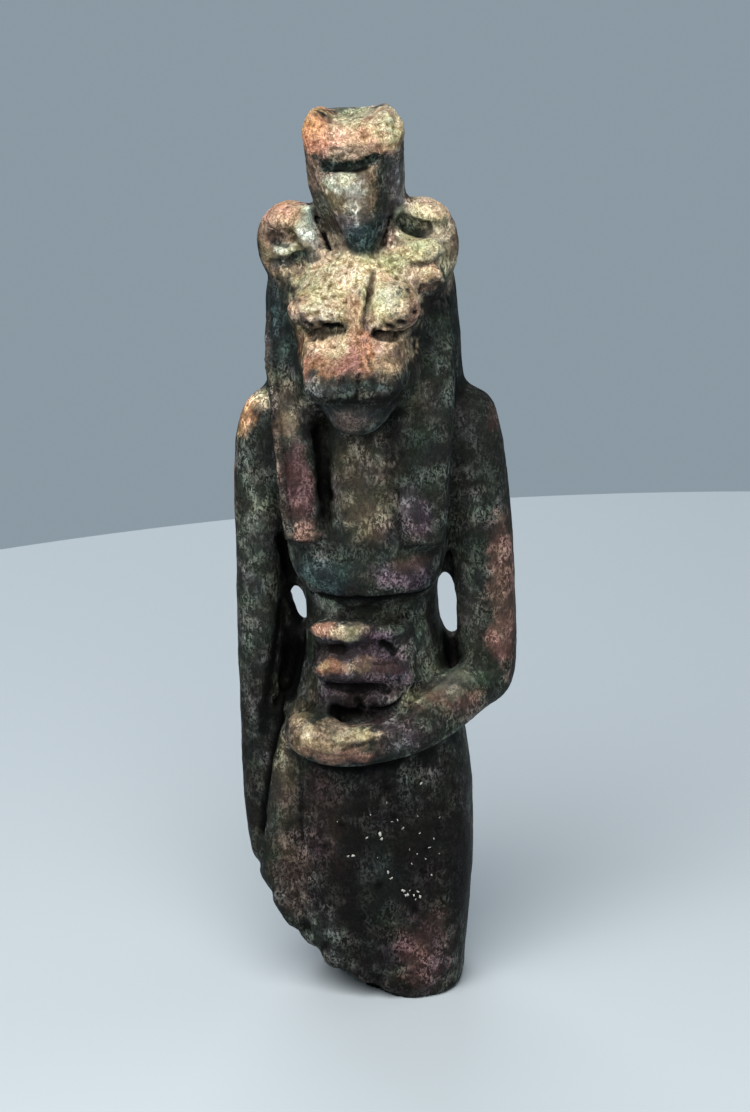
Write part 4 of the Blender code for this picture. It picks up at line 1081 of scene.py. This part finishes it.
class NodeBench:
    """Adds and links nodes in one material's tree."""

    def __init__(self, material: bpy.types.Material) -> None:
        """Opens a material's node tree.

        Args:
            material: the material, with nodes in use.
        """
        self.tree = material.node_tree
        self.shader = self.tree.nodes["Principled BSDF"]

    def add(self, kind: str, **inputs: object) -> bpy.types.Node:
        """Adds a node and sets or links its inputs.

        Args:
            kind: the node's type name.
            **inputs: values or output sockets by input name, with _ for a space.

        Returns:
            The node.
        """
        node = self.tree.nodes.new(kind)
        for name, value in inputs.items():
            self.feed(node.inputs[name.replace("_", " ")], value)
        return node

    def feed(self, socket: bpy.types.NodeSocket, value: object) -> None:
        """Sets a socket's value, or links an output to it.

        Args:
            socket: the input socket.
            value: a number, a colour or an output socket.
        """
        if isinstance(value, bpy.types.NodeSocket):
            self.tree.links.new(value, socket)
        else:
            socket.default_value = value

    def attribute(self, name: str, output: str) -> bpy.types.NodeSocket:
        """Reads one attribute of the mesh.

        Args:
            name: the attribute's name.
            output: Fac for a number, Color for a colour.

        Returns:
            The output socket.
        """
        node = self.tree.nodes.new("ShaderNodeAttribute")
        node.attribute_name = name
        return node.outputs[output]

    def math(self, operation: str, first: object, second: object = 0.0,
             third: object = 0.0) -> bpy.types.NodeSocket:
        """Adds one sum.

        Args:
            operation: the sum's name, such as MULTIPLY_ADD.
            first: a number or an output socket.
            second: a number or an output socket.
            third: a number or an output socket, where the sum has three terms.

        Returns:
            The output socket.
        """
        node = self.tree.nodes.new("ShaderNodeMath")
        node.operation = operation
        for socket, value in zip(node.inputs, (first, second, third)):
            self.feed(socket, value)
        return node.outputs[0]

    def mix(self, blend: str, share: object, first: object, second: object) -> bpy.types.NodeSocket:
        """Mixes two colours.

        Args:
            blend: the way they mix, such as MIX or MULTIPLY.
            share: how much of the second colour, as a number or an output socket.
            first: a colour or an output socket.
            second: a colour or an output socket.

        Returns:
            The output socket.
        """
        node = self.tree.nodes.new("ShaderNodeMix")
        node.data_type = "RGBA"
        node.blend_type = blend
        self.feed(node.inputs["Factor"], share)
        self.feed(node.inputs["A"], first)
        self.feed(node.inputs["B"], second)
        return node.outputs["Result"]

    def place(self, stretch: Point = (1.0, 1.0, 1.0)) -> bpy.types.NodeSocket:
        """Reads the object's own coordinates.

        Args:
            stretch: how much tighter a pattern gets along each axis.

        Returns:
            The output socket.
        """
        place = self.tree.nodes.new("ShaderNodeTexCoord")
        mapping = self.tree.nodes.new("ShaderNodeMapping")
        mapping.inputs["Scale"].default_value = stretch
        self.feed(mapping.inputs["Vector"], place.outputs["Object"])
        return mapping.outputs["Vector"]

    def mottle(self, where: bpy.types.NodeSocket, scale: float, curl: float,
               thickness: float) -> bpy.types.Node:
        """Places the felted mottling group.

        Args:
            where: the coordinates it follows.
            scale: swells to the metre.
            curl: how much the strands curl.
            thickness: how thick the strands are, in levels of the noise.

        Returns:
            The group node.
        """
        node = self.tree.nodes.new("ShaderNodeGroup")
        node.node_tree = ShaderGroup().build()
        self.feed(node.inputs["Vector"], where)
        for name, value in (("Scale", scale), ("Curl", curl), ("Thickness", thickness)):
            node.inputs[name].default_value = value
        return node

    def swell(self, where: bpy.types.NodeSocket, scale: float, low: float,
              high: float) -> bpy.types.NodeSocket:
        """Soft-edged patches of noise.

        Args:
            where: the coordinates they follow.
            scale: swells to the metre.
            low: the level of noise at which a patch begins.
            high: the level of noise at which it is full.

        Returns:
            The output socket, from 0 to 1.
        """
        cloud = self.add("ShaderNodeTexNoise", Vector=where, Scale=scale, Detail=2.0)
        step = self.tree.nodes.new("ShaderNodeMapRange")
        step.interpolation_type = "SMOOTHSTEP"
        self.feed(step.inputs["Value"], cloud.outputs["Fac"])
        step.inputs["From Min"].default_value = low
        step.inputs["From Max"].default_value = high
        return step.outputs["Result"]

    def hue(self, where: bpy.types.NodeSocket, scale: float, swing: float) -> bpy.types.NodeSocket:
        """Makes a colour that drifts about white.

        Args:
            where: the coordinates it follows.
            scale: swells to the metre.
            swing: how far each channel drifts.

        Returns:
            The output socket.
        """
        drift = self.add("ShaderNodeTexNoise", Vector=where, Scale=scale, Detail=2.0)
        spread = self.tree.nodes.new("ShaderNodeVectorMath")
        spread.operation = "MULTIPLY_ADD"
        self.feed(spread.inputs[0], drift.outputs["Color"])
        spread.inputs[1].default_value = (swing, swing, swing)
        rest = 1.0 - 0.5 * swing
        spread.inputs[2].default_value = (rest, rest, rest)
        return spread.outputs["Vector"]

    def between(self, share: object, low: object, high: object) -> bpy.types.NodeSocket:
        """A number between two others.

        Args:
            share: 0 for the first and 1 for the second.
            low: the first number or output socket.
            high: the second number or output socket.

        Returns:
            The output socket.
        """
        node = self.tree.nodes.new("ShaderNodeMix")
        node.data_type = "FLOAT"
        self.feed(node.inputs["Factor"], share)
        self.feed(node.inputs["A"], low)
        self.feed(node.inputs["B"], high)
        return node.outputs["Result"]


@dataclass(frozen=True)
class WornGlaze:
    """The finish of the figure: dark glaze with felted flecks, under a granular crust, with its hollows
    darkened as painted shade.
    """

    name: str = "worn_glaze_dressed"
    fleck_scale: float = 2950.0
    crust_scale: float = 2750.0
    crust_levels: tuple[float, float] = (0.52, 1.26)
    bump_distance: float = 0.00011

    def build(self) -> bpy.types.Material:
        """Makes the material.

        Returns:
            The material, which reads the attributes weathering_and_painted_light_tint, crust and hollow of the mesh.
        """
        material = bpy.data.materials.new(self.name)
        material.use_nodes = True
        bench = NodeBench(material)
        tint = bench.attribute("weathering_and_painted_light_tint", "Color")
        crust = bench.attribute("crust", "Fac")
        hollow = bench.attribute("hollow", "Fac")
        even = bench.place()
        flecks = bench.mottle(bench.place((1.0, 1.0, 0.62)), self.fleck_scale, 0.8, 0.11)
        crumbs = bench.mottle(even, self.crust_scale, 1.5, 0.12)
        near_share = bench.math("MULTIPLY_ADD", bench.swell(even, 900.0, 0.38, 0.62), 0.88, 0.12)
        wide_share = bench.math("MULTIPLY_ADD", bench.swell(even, 330.0, 0.38, 0.64), 0.7, 0.3)
        broken = bench.math("MULTIPLY", flecks.outputs["Strand"], bench.swell(even, 5200.0, 0.36, 0.54))
        green = bench.add("ShaderNodeSeparateColor", Color=tint).outputs["Green"]
        paleness = bench.math("MINIMUM", bench.math("MULTIPLY_ADD", green, 62.0, -0.47), 1.0)
        dusty = bench.math("MAXIMUM", paleness, 0.0)
        shares = bench.math("MULTIPLY", dusty, bench.math("MULTIPLY", near_share, wide_share))
        clouds = bench.math("MULTIPLY", bench.swell(bench.place((1.0, 1.0, 0.8)), 1500.0, 0.46, 0.70), 0.36)
        specks = bench.swell(bench.place((1.3, 1.0, 0.55)), 3900.0, 0.57, 0.64)
        strands = bench.math("MULTIPLY", broken, 0.85)
        marks = bench.math("MAXIMUM", bench.math("MAXIMUM", strands, clouds), specks)
        fleck = bench.math("MULTIPLY", marks, shares)
        dark = bench.mix("MULTIPLY", 1.0, tint, (0.38, 0.38, 0.38, 1.0))
        bright = bench.mix("MULTIPLY", 1.0, tint, (4.7, 4.7, 4.7, 1.0))
        lit = bench.mix("ADD", 1.0, bright, (0.012, 0.0115, 0.010, 1.0))
        bare = bench.mix("MIX", fleck, dark, lit)
        level = bench.between(crumbs.outputs["Strand"], *self.crust_levels)
        crumbly = bench.mix("MULTIPLY", 1.0, tint, level)
        gap = bench.math("SUBTRACT", 1.0, crumbs.outputs["Strand"])
        crusted = bench.mix("MULTIPLY", bench.math("MULTIPLY", gap, 0.8), crumbly, (1.0, 0.84, 0.58, 1.0))
        covered = bench.mix("MIX", crust, bare, crusted)
        grained = bench.mix("MULTIPLY", 1.0, covered, bench.hue(even, 520.0, 0.5))
        fine = bench.math("MULTIPLY_ADD", crumbs.outputs["Grain"], 1.1, 0.45)
        mottled = bench.mix("MULTIPLY", 1.0, grained, fine)
        # painted shade: the colour is darkened towards brown in hollows
        colour = bench.mix("MULTIPLY", bench.math("MULTIPLY", hollow, 0.85), mottled, (0.16, 0.14, 0.12, 1.0))
        bench.feed(bench.shader.inputs["Base Color"], colour)
        rough = bench.math("MULTIPLY_ADD", crust, 0.25, 0.52)
        bench.feed(bench.shader.inputs["Roughness"], rough)
        bench.shader.inputs["Specular IOR Level"].default_value = 0.04
        crumb_height = bench.math("MULTIPLY_ADD", crumbs.outputs["Strand"], 0.5, crumbs.outputs["Grain"])
        glaze_height = bench.math("MULTIPLY_ADD", flecks.outputs["Strand"], 0.5, crumbs.outputs["Grain"])
        height = bench.between(crust, bench.math("MULTIPLY", glaze_height, 0.35), crumb_height)
        bump = bench.add("ShaderNodeBump", Height=height, Distance=self.bump_distance, Strength=1.0)
        bench.feed(bench.shader.inputs["Normal"], bump.outputs["Normal"])
        return material


@dataclass(frozen=True)
class Lime:
    """The finish of the white mineral grains in the pits of the dress."""

    name: str = "lime_grains"

    def build(self) -> bpy.types.Material:
        """Makes the material.

        Returns:
            The material.
        """
        material = bpy.data.materials.new(self.name)
        material.use_nodes = True
        bench = NodeBench(material)
        grain = bench.mottle(bench.place(), 3000.0, 0.5, 0.1)
        colour = bench.mix("MIX", grain.outputs["Grain"], (0.12, 0.12, 0.11, 1.0), (0.72, 0.72, 0.68, 1.0))
        bench.feed(bench.shader.inputs["Base Color"], colour)
        bench.shader.inputs["Roughness"].default_value = 0.8
        bump = bench.add("ShaderNodeBump", Height=grain.outputs["Grain"], Distance=0.00005, Strength=0.6)
        bench.feed(bench.shader.inputs["Normal"], bump.outputs["Normal"])
        return material


@dataclass(frozen=True)
class PaleTop:
    """The finish of the table: plain, pale and matt."""

    name: str = "pale_table"
    colour: Point = (0.465, 0.535, 0.59)

    def build(self) -> bpy.types.Material:
        """Makes the material.

        Returns:
            The material.
        """
        material = bpy.data.materials.new(self.name)
        material.use_nodes = True
        shader = material.node_tree.nodes["Principled BSDF"]
        shader.inputs["Base Color"].default_value = (*self.colour, 1.0)
        shader.inputs["Roughness"].default_value = 0.75
        return material


@dataclass
class CarvedFigure:
    """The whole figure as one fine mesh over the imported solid."""

    name: str = "carved_figure"
    voxel: float = 0.245
    smoothing: int = 7
    swell: Ripple = Ripple(0.07, 4.0, 3.1)
    patch_drift: tuple[Ripple, ...] = (Ripple(0.45, 1.3, 11.0), Ripple(0.20, 0.45, 5.0))
    patch_edges: tuple[Ripple, ...] = (
        Ripple(0.5, 1.9, 20.0),
        Ripple(0.6, 0.6, 33.0),
        Ripple(0.5, 0.28, 38.0),
    )
    curl: Ripple = Ripple(1.0, 0.62, 41.0)
    grit: Ripple = Ripple(1.0, 0.34, 57.0)
    wear: Ripple = Ripple(1.0, 1.5, 71.0)
    fine_zones: tuple[tuple[Point, Point], ...] = (
        ((-7.0, -8.0, 48.2), (7.2, -1.0, 59.9)),
        ((-4.4, -9.8, 41.8), (4.6, -3.4, 48.2)),
        ((-5.4, -8.0, 17.8), (3.4, -4.5, 27.2)),
    )

    def blank(self, lumps: Sequence[Lump]) -> bpy.types.Object:
        """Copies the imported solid, sets the lumps on it and makes one even skin of them.

        Args:
            lumps: the lumps to set on.

        Returns:
            The new object, with an even fine mesh.
        """
        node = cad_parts[NODE]
        figure = bpy.data.objects.new(self.name, node.data.copy())
        bpy.context.scene.collection.objects.link(figure)
        figure.data.materials.clear()
        make_active(figure)
        bpy.ops.object.mode_set(mode="EDIT")
        bpy.ops.mesh.select_all(action="SELECT")
        bpy.ops.mesh.remove_doubles(threshold=1e-6)
        bpy.ops.object.mode_set(mode="OBJECT")
        apply_modifier(figure, "SUBSURF", levels=1, render_levels=1)
        made = [self.set_lump(lump) for lump in lumps]
        make_active(figure)
        for lump in made:
            lump.select_set(True)
        bpy.ops.object.join()
        apply_modifier(figure, "REMESH", mode="VOXEL", voxel_size=self.voxel * MM)
        apply_modifier(figure, "SMOOTH", factor=0.5, iterations=self.smoothing)
        return figure

    def set_lump(self, lump: Lump) -> bpy.types.Object:
        """Makes one rounded lump, flattened a little behind.

        Args:
            lump: its place, size and turn.

        Returns:
            The lump as an object of its own.
        """
        deselect_all()
        bpy.ops.mesh.primitive_uv_sphere_add(
            segments=36,
            ring_count=20,
            radius=MM,
            location=[c * MM for c in lump.centre],
            rotation=[math.radians(t) for t in lump.turn],
        )
        made = bpy.context.object
        made.scale = lump.radii
        bpy.ops.object.mode_set(mode="EDIT")
        bpy.ops.mesh.select_all(action="SELECT")
        behind = (lump.centre[0] * MM, (lump.centre[1] + 0.9 * lump.radii[1]) * MM, lump.centre[2] * MM)
        bpy.ops.mesh.bisect(plane_co=behind, plane_no=(0, 1, 0), use_fill=True, clear_outer=True)
        bpy.ops.object.mode_set(mode="OBJECT")
        bpy.ops.object.transform_apply(location=True, rotation=True, scale=True)
        return made

    def refine(self, figure: bpy.types.Object) -> None:
        """Divides the faces of the carved zones once more.

        Args:
            figure: the figure's object.
        """
        mesh = figure.data
        centres = np.empty(len(mesh.polygons) * 3)
        mesh.polygons.foreach_get("center", centres)
        centres = centres.reshape(-1, 3) / MM
        chosen = np.zeros(len(centres), bool)
        for low, high in self.fine_zones:
            chosen |= ((centres > np.array(low)) & (centres < np.array(high))).all(1)
        make_active(figure)
        bpy.ops.object.mode_set(mode="EDIT")
        bpy.context.tool_settings.mesh_select_mode = (False, False, True)
        bpy.ops.mesh.select_all(action="DESELECT")
        bpy.ops.object.mode_set(mode="OBJECT")
        mesh.polygons.foreach_set("select", chosen)
        bpy.ops.object.mode_set(mode="EDIT")
        bpy.ops.mesh.subdivide(number_cuts=1, smoothness=0.6)
        bpy.ops.object.mode_set(mode="OBJECT")
        bpy.context.tool_settings.mesh_select_mode = (True, False, False)

    def work(self, clay: Clay, features: Sequence[Feature]) -> None:
        """Carves and weathers the surface, and paints shade and highlights into its colour.

        Args:
            clay: the figure's surface.
            features: the features, from the head down.
        """
        foot = (clay.co[:, 2] < 0.25) & (clay.normal[:, 2] < -0.9)
        clay.co += clay.normal * clay.wave(self.swell)[:, None]
        clay.update()
        for feature in features:
            for stroke in feature.strokes():
                clay.press(stroke)
            clay.update()
        drift = clay.drift(*self.patch_drift)
        ragged = clay.wave(*self.patch_edges)
        for feature in features:
            for patch in feature.patches():
                clay.paint_area(patch, drift, ragged)
        clay.paint_marks(ragged)
        curls = 1.0 - 2.0 * np.abs(clay.wave(self.curl))
        grit = clay.wave(self.grit)
        pitted = smoothstep((-grit - 0.15) / 0.3) * clay.crust
        clay.tint *= 1.0 - 0.55 * pitted[:, None] * np.array((0.9, 1.0, 1.15))
        worn = clay.wave(self.wear)
        relief = 0.040 * worn + 0.020 * grit + clay.crust * (0.060 * curls + 0.080 * grit)
        clay.co += clay.normal * relief[:, None]
        clay.co[foot, 2] = 0.0
        clay.co[:, 2] = np.maximum(clay.co[:, 2], 0.0)
        clay.update()

    def dress(self, clay: Clay) -> None:
        """Keeps the weathering and painted shade on the mesh, lightens its rounded edges as a painted
        highlight, and gives it its finish, which darkens its hollows as painted shade.

        Args:
            clay: the figure's surface.
        """
        # how far each point sits in a hollow or stands out on an edge, used for painted shade and painted
        # highlight
        near = ((clay.spread(clay.co, 4) - clay.co) * clay.normal).sum(1)
        wide = ((clay.spread(clay.co, 26) - clay.co) * clay.normal).sum(1)
        hollow = np.clip(near / 0.05, -1.0, 1.0) * 0.5 + np.clip(wide / 0.16, -1.0, 1.0) * 0.5
        clay.save_number("hollow", np.clip(hollow, 0.0, 1.0))
        clay.save_number("crust", np.clip(clay.crust, 0.0, 1.0))
        # painted highlight: the tint of rounded edges is lightened, more so on crust
        edge = np.clip(-hollow, 0.0, 1.0)[:, None] * (0.25 + 0.6 * clay.crust[:, None])
        clay.tint += (np.clip(clay.tint * 1.5, 0.0, 0.8) - clay.tint) * edge
        clay.save_tint("weathering_and_painted_light_tint")
        clay.piece.data.materials.append(WornGlaze().build())

    def build(self, features: Sequence[Feature]) -> bpy.types.Object:
        """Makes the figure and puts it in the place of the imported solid.

        Args:
            features: the features, from the head down.

        Returns:
            The finished figure.
        """
        lumps = [lump for feature in features for lump in feature.lumps()]
        figure = self.blank(lumps)
        self.refine(figure)
        noise.seed_set(NOISE_SEED)
        clay = Clay(figure)
        self.work(clay, features)
        self.dress(clay)
        make_active(figure)
        bpy.ops.object.shade_smooth()
        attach(figure, BODY)
        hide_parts(NODE)
        log.info("%s: %d points, %d faces", self.name, len(figure.data.vertices), len(figure.data.polygons))
        return figure


@dataclass
class LimeGrains:
    """White mineral grains that sit in small pits of the dress."""

    name: str = "lime_grains"
    grains: tuple[tuple[float, float, float, float], ...] = (
        (1.95, 7.65, 0.10, 0.16),
        (2.25, 8.0, 0.08, 0.14),
        (2.75, 7.9, 0.08, 0.15),
        (2.6, 7.35, 0.09, 0.10),
        (2.8, 10.6, 0.06, 0.12),
        (3.3, 10.2, 0.05, 0.10),
        (3.6, 10.9, 0.05, 0.14),
        (3.9, 11.5, 0.05, 0.09),
        (2.4, 9.9, 0.05, 0.10),
        (1.9, 12.4, 0.05, 0.10),
        (2.9, 13.2, 0.05, 0.09),
        (0.9, 14.2, 0.05, 0.08),
        (4.3, 12.9, 0.05, 0.10),
        (1.2, 12.9, 0.05, 0.08),
        (-0.5, 11.8, 0.15, 0.13),
        (0.4, 12.05, 0.16, 0.20),
        (0.5, 11.7, 0.18, 0.14),
        (-1.75, 10.5, 0.16, 0.11),
        (-1.4, 10.55, 0.22, 0.13),
        (0.85, 9.35, 0.15, 0.16),
        (1.05, 8.95, 0.12, 0.16),
        (1.8, 8.0, 0.20, 0.22),
        (2.1, 7.7, 0.22, 0.14),
        (2.5, 7.65, 0.18, 0.14),
        (2.9, 7.5, 0.20, 0.12),
        (3.2, 15.4, 0.12, 0.12),
        (1.6, 13.0, 0.08, 0.09),
        (-0.2, 13.4, 0.08, 0.08),
        (3.0, 12.0, 0.08, 0.10),
        (4.2, 10.4, 0.07, 0.10),
        (-2.4, 12.9, 0.07, 0.07),
        (0.2, 10.4, 0.08, 0.07),
        (3.7, 9.0, 0.08, 0.08),
        (2.3, 10.9, 0.07, 0.09),
    )

    def build(self, figure: bpy.types.Object) -> bpy.types.Object:
        """Sets the grains on the surface of the figure.

        Args:
            figure: the finished figure.

        Returns:
            The grains as one object.
        """
        mesh = figure.data
        tree = BVHTree.FromPolygons([v.co for v in mesh.vertices], [tuple(p.vertices) for p in mesh.polygons])
        made = []
        for i, (x, z, across, tall) in enumerate(self.grains):
            place, normal, _, _ = tree.ray_cast(Vector((x * MM, -0.02, z * MM)), Vector((0, 1, 0)))
            if place is None:
                log.warning("grain %d misses the dress", i)
                continue
            deselect_all()
            bpy.ops.mesh.primitive_ico_sphere_add(subdivisions=2, radius=MM, location=place)
            grain = bpy.context.object
            grain.scale = (0.50 * across, 0.05, 0.75 * tall)
            grain.rotation_euler = (0.0, 1.1 * math.sin(2.3 * i), math.atan2(normal.x, -normal.y))
            bpy.ops.object.transform_apply(location=True, rotation=True, scale=True)
            for point in grain.data.vertices:
                point.co += noise.noise_vector(point.co / (0.10 * MM)) * 0.075 * MM
            made.append(grain)
        make_active(made[0])
        for grain in made[1:]:
            grain.select_set(True)
        bpy.ops.object.join()
        grains = bpy.context.object
        grains.name = self.name
        grains.data.materials.append(Lime().build())
        bpy.ops.object.shade_smooth()
        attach(grains, BODY)
        log.info("%s: %d grains", self.name, len(made))
        return grains


@dataclass
class TableTop:
    """The pale round table that the figure stands on."""

    name: str = "pale_table"
    centre: tuple[float, float] = (22.4, -31.3)
    radius: float = 141.3
    thickness: float = 8.0
    edge: float = 1.5

    def build(self) -> bpy.types.Object:
        """Makes the table top with a rounded edge.

        Returns:
            The table top.
        """
        deselect_all()
        bpy.ops.mesh.primitive_cylinder_add(
            vertices=256,
            radius=self.radius * MM,
            depth=self.thickness * MM,
            location=(self.centre[0] * MM, self.centre[1] * MM, -0.5 * self.thickness * MM),
        )
        table = bpy.context.object
        table.name = self.name
        bpy.ops.object.transform_apply(location=True, rotation=True, scale=True)
        apply_modifier(table, "BEVEL", width=self.edge * MM, segments=4, limit_method="ANGLE")
        bpy.ops.object.shade_smooth_by_angle(angle=math.radians(30.0))
        table.data.materials.append(PaleTop().build())
        log.info("%s: %.0f mm across", self.name, 2 * self.radius)
        return table


@dataclass(frozen=True)
class SoftBox:
    """One square soft light, aimed at the figure."""

    name: str
    place: Point
    power: float
    size: float
    colour: Point = (1.0, 1.0, 1.0)

    def hang(self, target: Vector) -> None:
        """Places the light.

        Args:
            target: what it is aimed at, in metres.
        """
        lamp = bpy.data.lights.new(self.name, "AREA")
        lamp.energy = self.power
        lamp.size = self.size * MM
        lamp.color = self.colour
        holder = bpy.data.objects.new(self.name, lamp)
        bpy.context.scene.collection.objects.link(holder)
        holder.location = Vector(self.place) * MM
        holder.rotation_euler = (target - holder.location).to_track_quat("-Z", "Y").to_euler()


@dataclass
class Studio:
    """Soft light from above and slightly from her right, and a plain grey-blue surround."""

    target: Point = (0.0, 0.0, 32.0)
    surround: Point = (0.26, 0.32, 0.37)
    ambient: Point = (0.085, 0.115, 0.140)
    lights: tuple[SoftBox, ...] = (
        SoftBox("key", (-24.0, -140.0, 195.0), 0.92, 205.0, (1.0, 0.95, 0.89)),
        SoftBox("front", (70.0, -260.0, 60.0), 0.05, 140.0, (0.94, 0.97, 1.0)),
        SoftBox("rear", (-70.0, 240.0, 150.0), 0.30, 180.0, (0.96, 0.98, 1.0)),
        SoftBox("side", (230.0, 90.0, 110.0), 0.09, 170.0, (0.96, 0.98, 1.0)),
    )

    def build(self) -> None:
        """Hangs the lights and colours the surround."""
        for light in self.lights:
            light.hang(Vector(self.target) * MM)
        world = bpy.data.worlds.new("surround")
        bpy.context.scene.world = world
        world.use_nodes = True
        tree = world.node_tree
        seen = tree.nodes["Background"]
        seen.inputs["Color"].default_value = (*self.surround, 1.0)
        felt = tree.nodes.new("ShaderNodeBackground")
        felt.inputs["Color"].default_value = (*self.ambient, 1.0)
        path = tree.nodes.new("ShaderNodeLightPath")
        mix = tree.nodes.new("ShaderNodeMixShader")
        tree.links.new(path.outputs["Is Camera Ray"], mix.inputs["Fac"])
        tree.links.new(felt.outputs["Background"], mix.inputs[1])
        tree.links.new(seen.outputs["Background"], mix.inputs[2])
        tree.links.new(mix.outputs["Shader"], tree.nodes["World Output"].inputs["Surface"])
        bpy.context.scene.view_settings.view_transform = "Standard"
        log.info("studio: %d lights", len(self.lights))


@dataclass
class Viewpoint:
    """The camera at the photograph's angle."""

    target: Point = (0.30, 0.0, 29.57)
    distance: float = 280.0
    above: float = 18.0
    beside: float = 4.5
    roll: float = 2.0
    lens: float = 138.2

    def build(self) -> None:
        """Places the camera and makes it the scene's own."""
        above, beside = math.radians(self.above), math.radians(self.beside)
        level = math.cos(above)
        back = Vector((math.sin(beside) * level, -math.cos(beside) * level, math.sin(above)))
        right = Vector((math.cos(beside), math.sin(beside), 0.0))
        upright = Matrix((right, back.cross(right), back)).transposed()
        turn = upright @ Matrix.Rotation(-math.radians(self.roll), 3, "Z")
        eye = bpy.data.cameras.new("view")
        eye.sensor_fit = "VERTICAL"
        eye.sensor_height = 36.0
        eye.lens = self.lens
        eye.clip_start = 0.001
        holder = bpy.data.objects.new("view", eye)
        bpy.context.scene.collection.objects.link(holder)
        place = (Vector(self.target) + back * self.distance) * MM
        holder.matrix_world = Matrix.Translation(place) @ turn.to_4x4()
        bpy.context.scene.camera = holder
        log.info("view: %.0f mm away", self.distance)


def main() -> None:
    """Builds the figure, the grains, the table, the light and the view, in that order."""
    logging.basicConfig(level=logging.INFO, format="%(name)s: %(message)s")
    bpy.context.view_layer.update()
    features = (BackPillar(), Dress(), Arms(), Chest(), Emblem(), Wig(), Ears(), Face(), Uraeus())
    for feature in features:
        log.info("%s: %d lumps, %d strokes, %d patches", feature.name, len(feature.lumps()),
                 len(feature.strokes()), len(feature.patches()))
    figure = CarvedFigure().build(features)
    LimeGrains().build(figure)
    TableTop().build()
    Studio().build()
    Viewpoint().build()


if __name__ == "__main__":
    main()
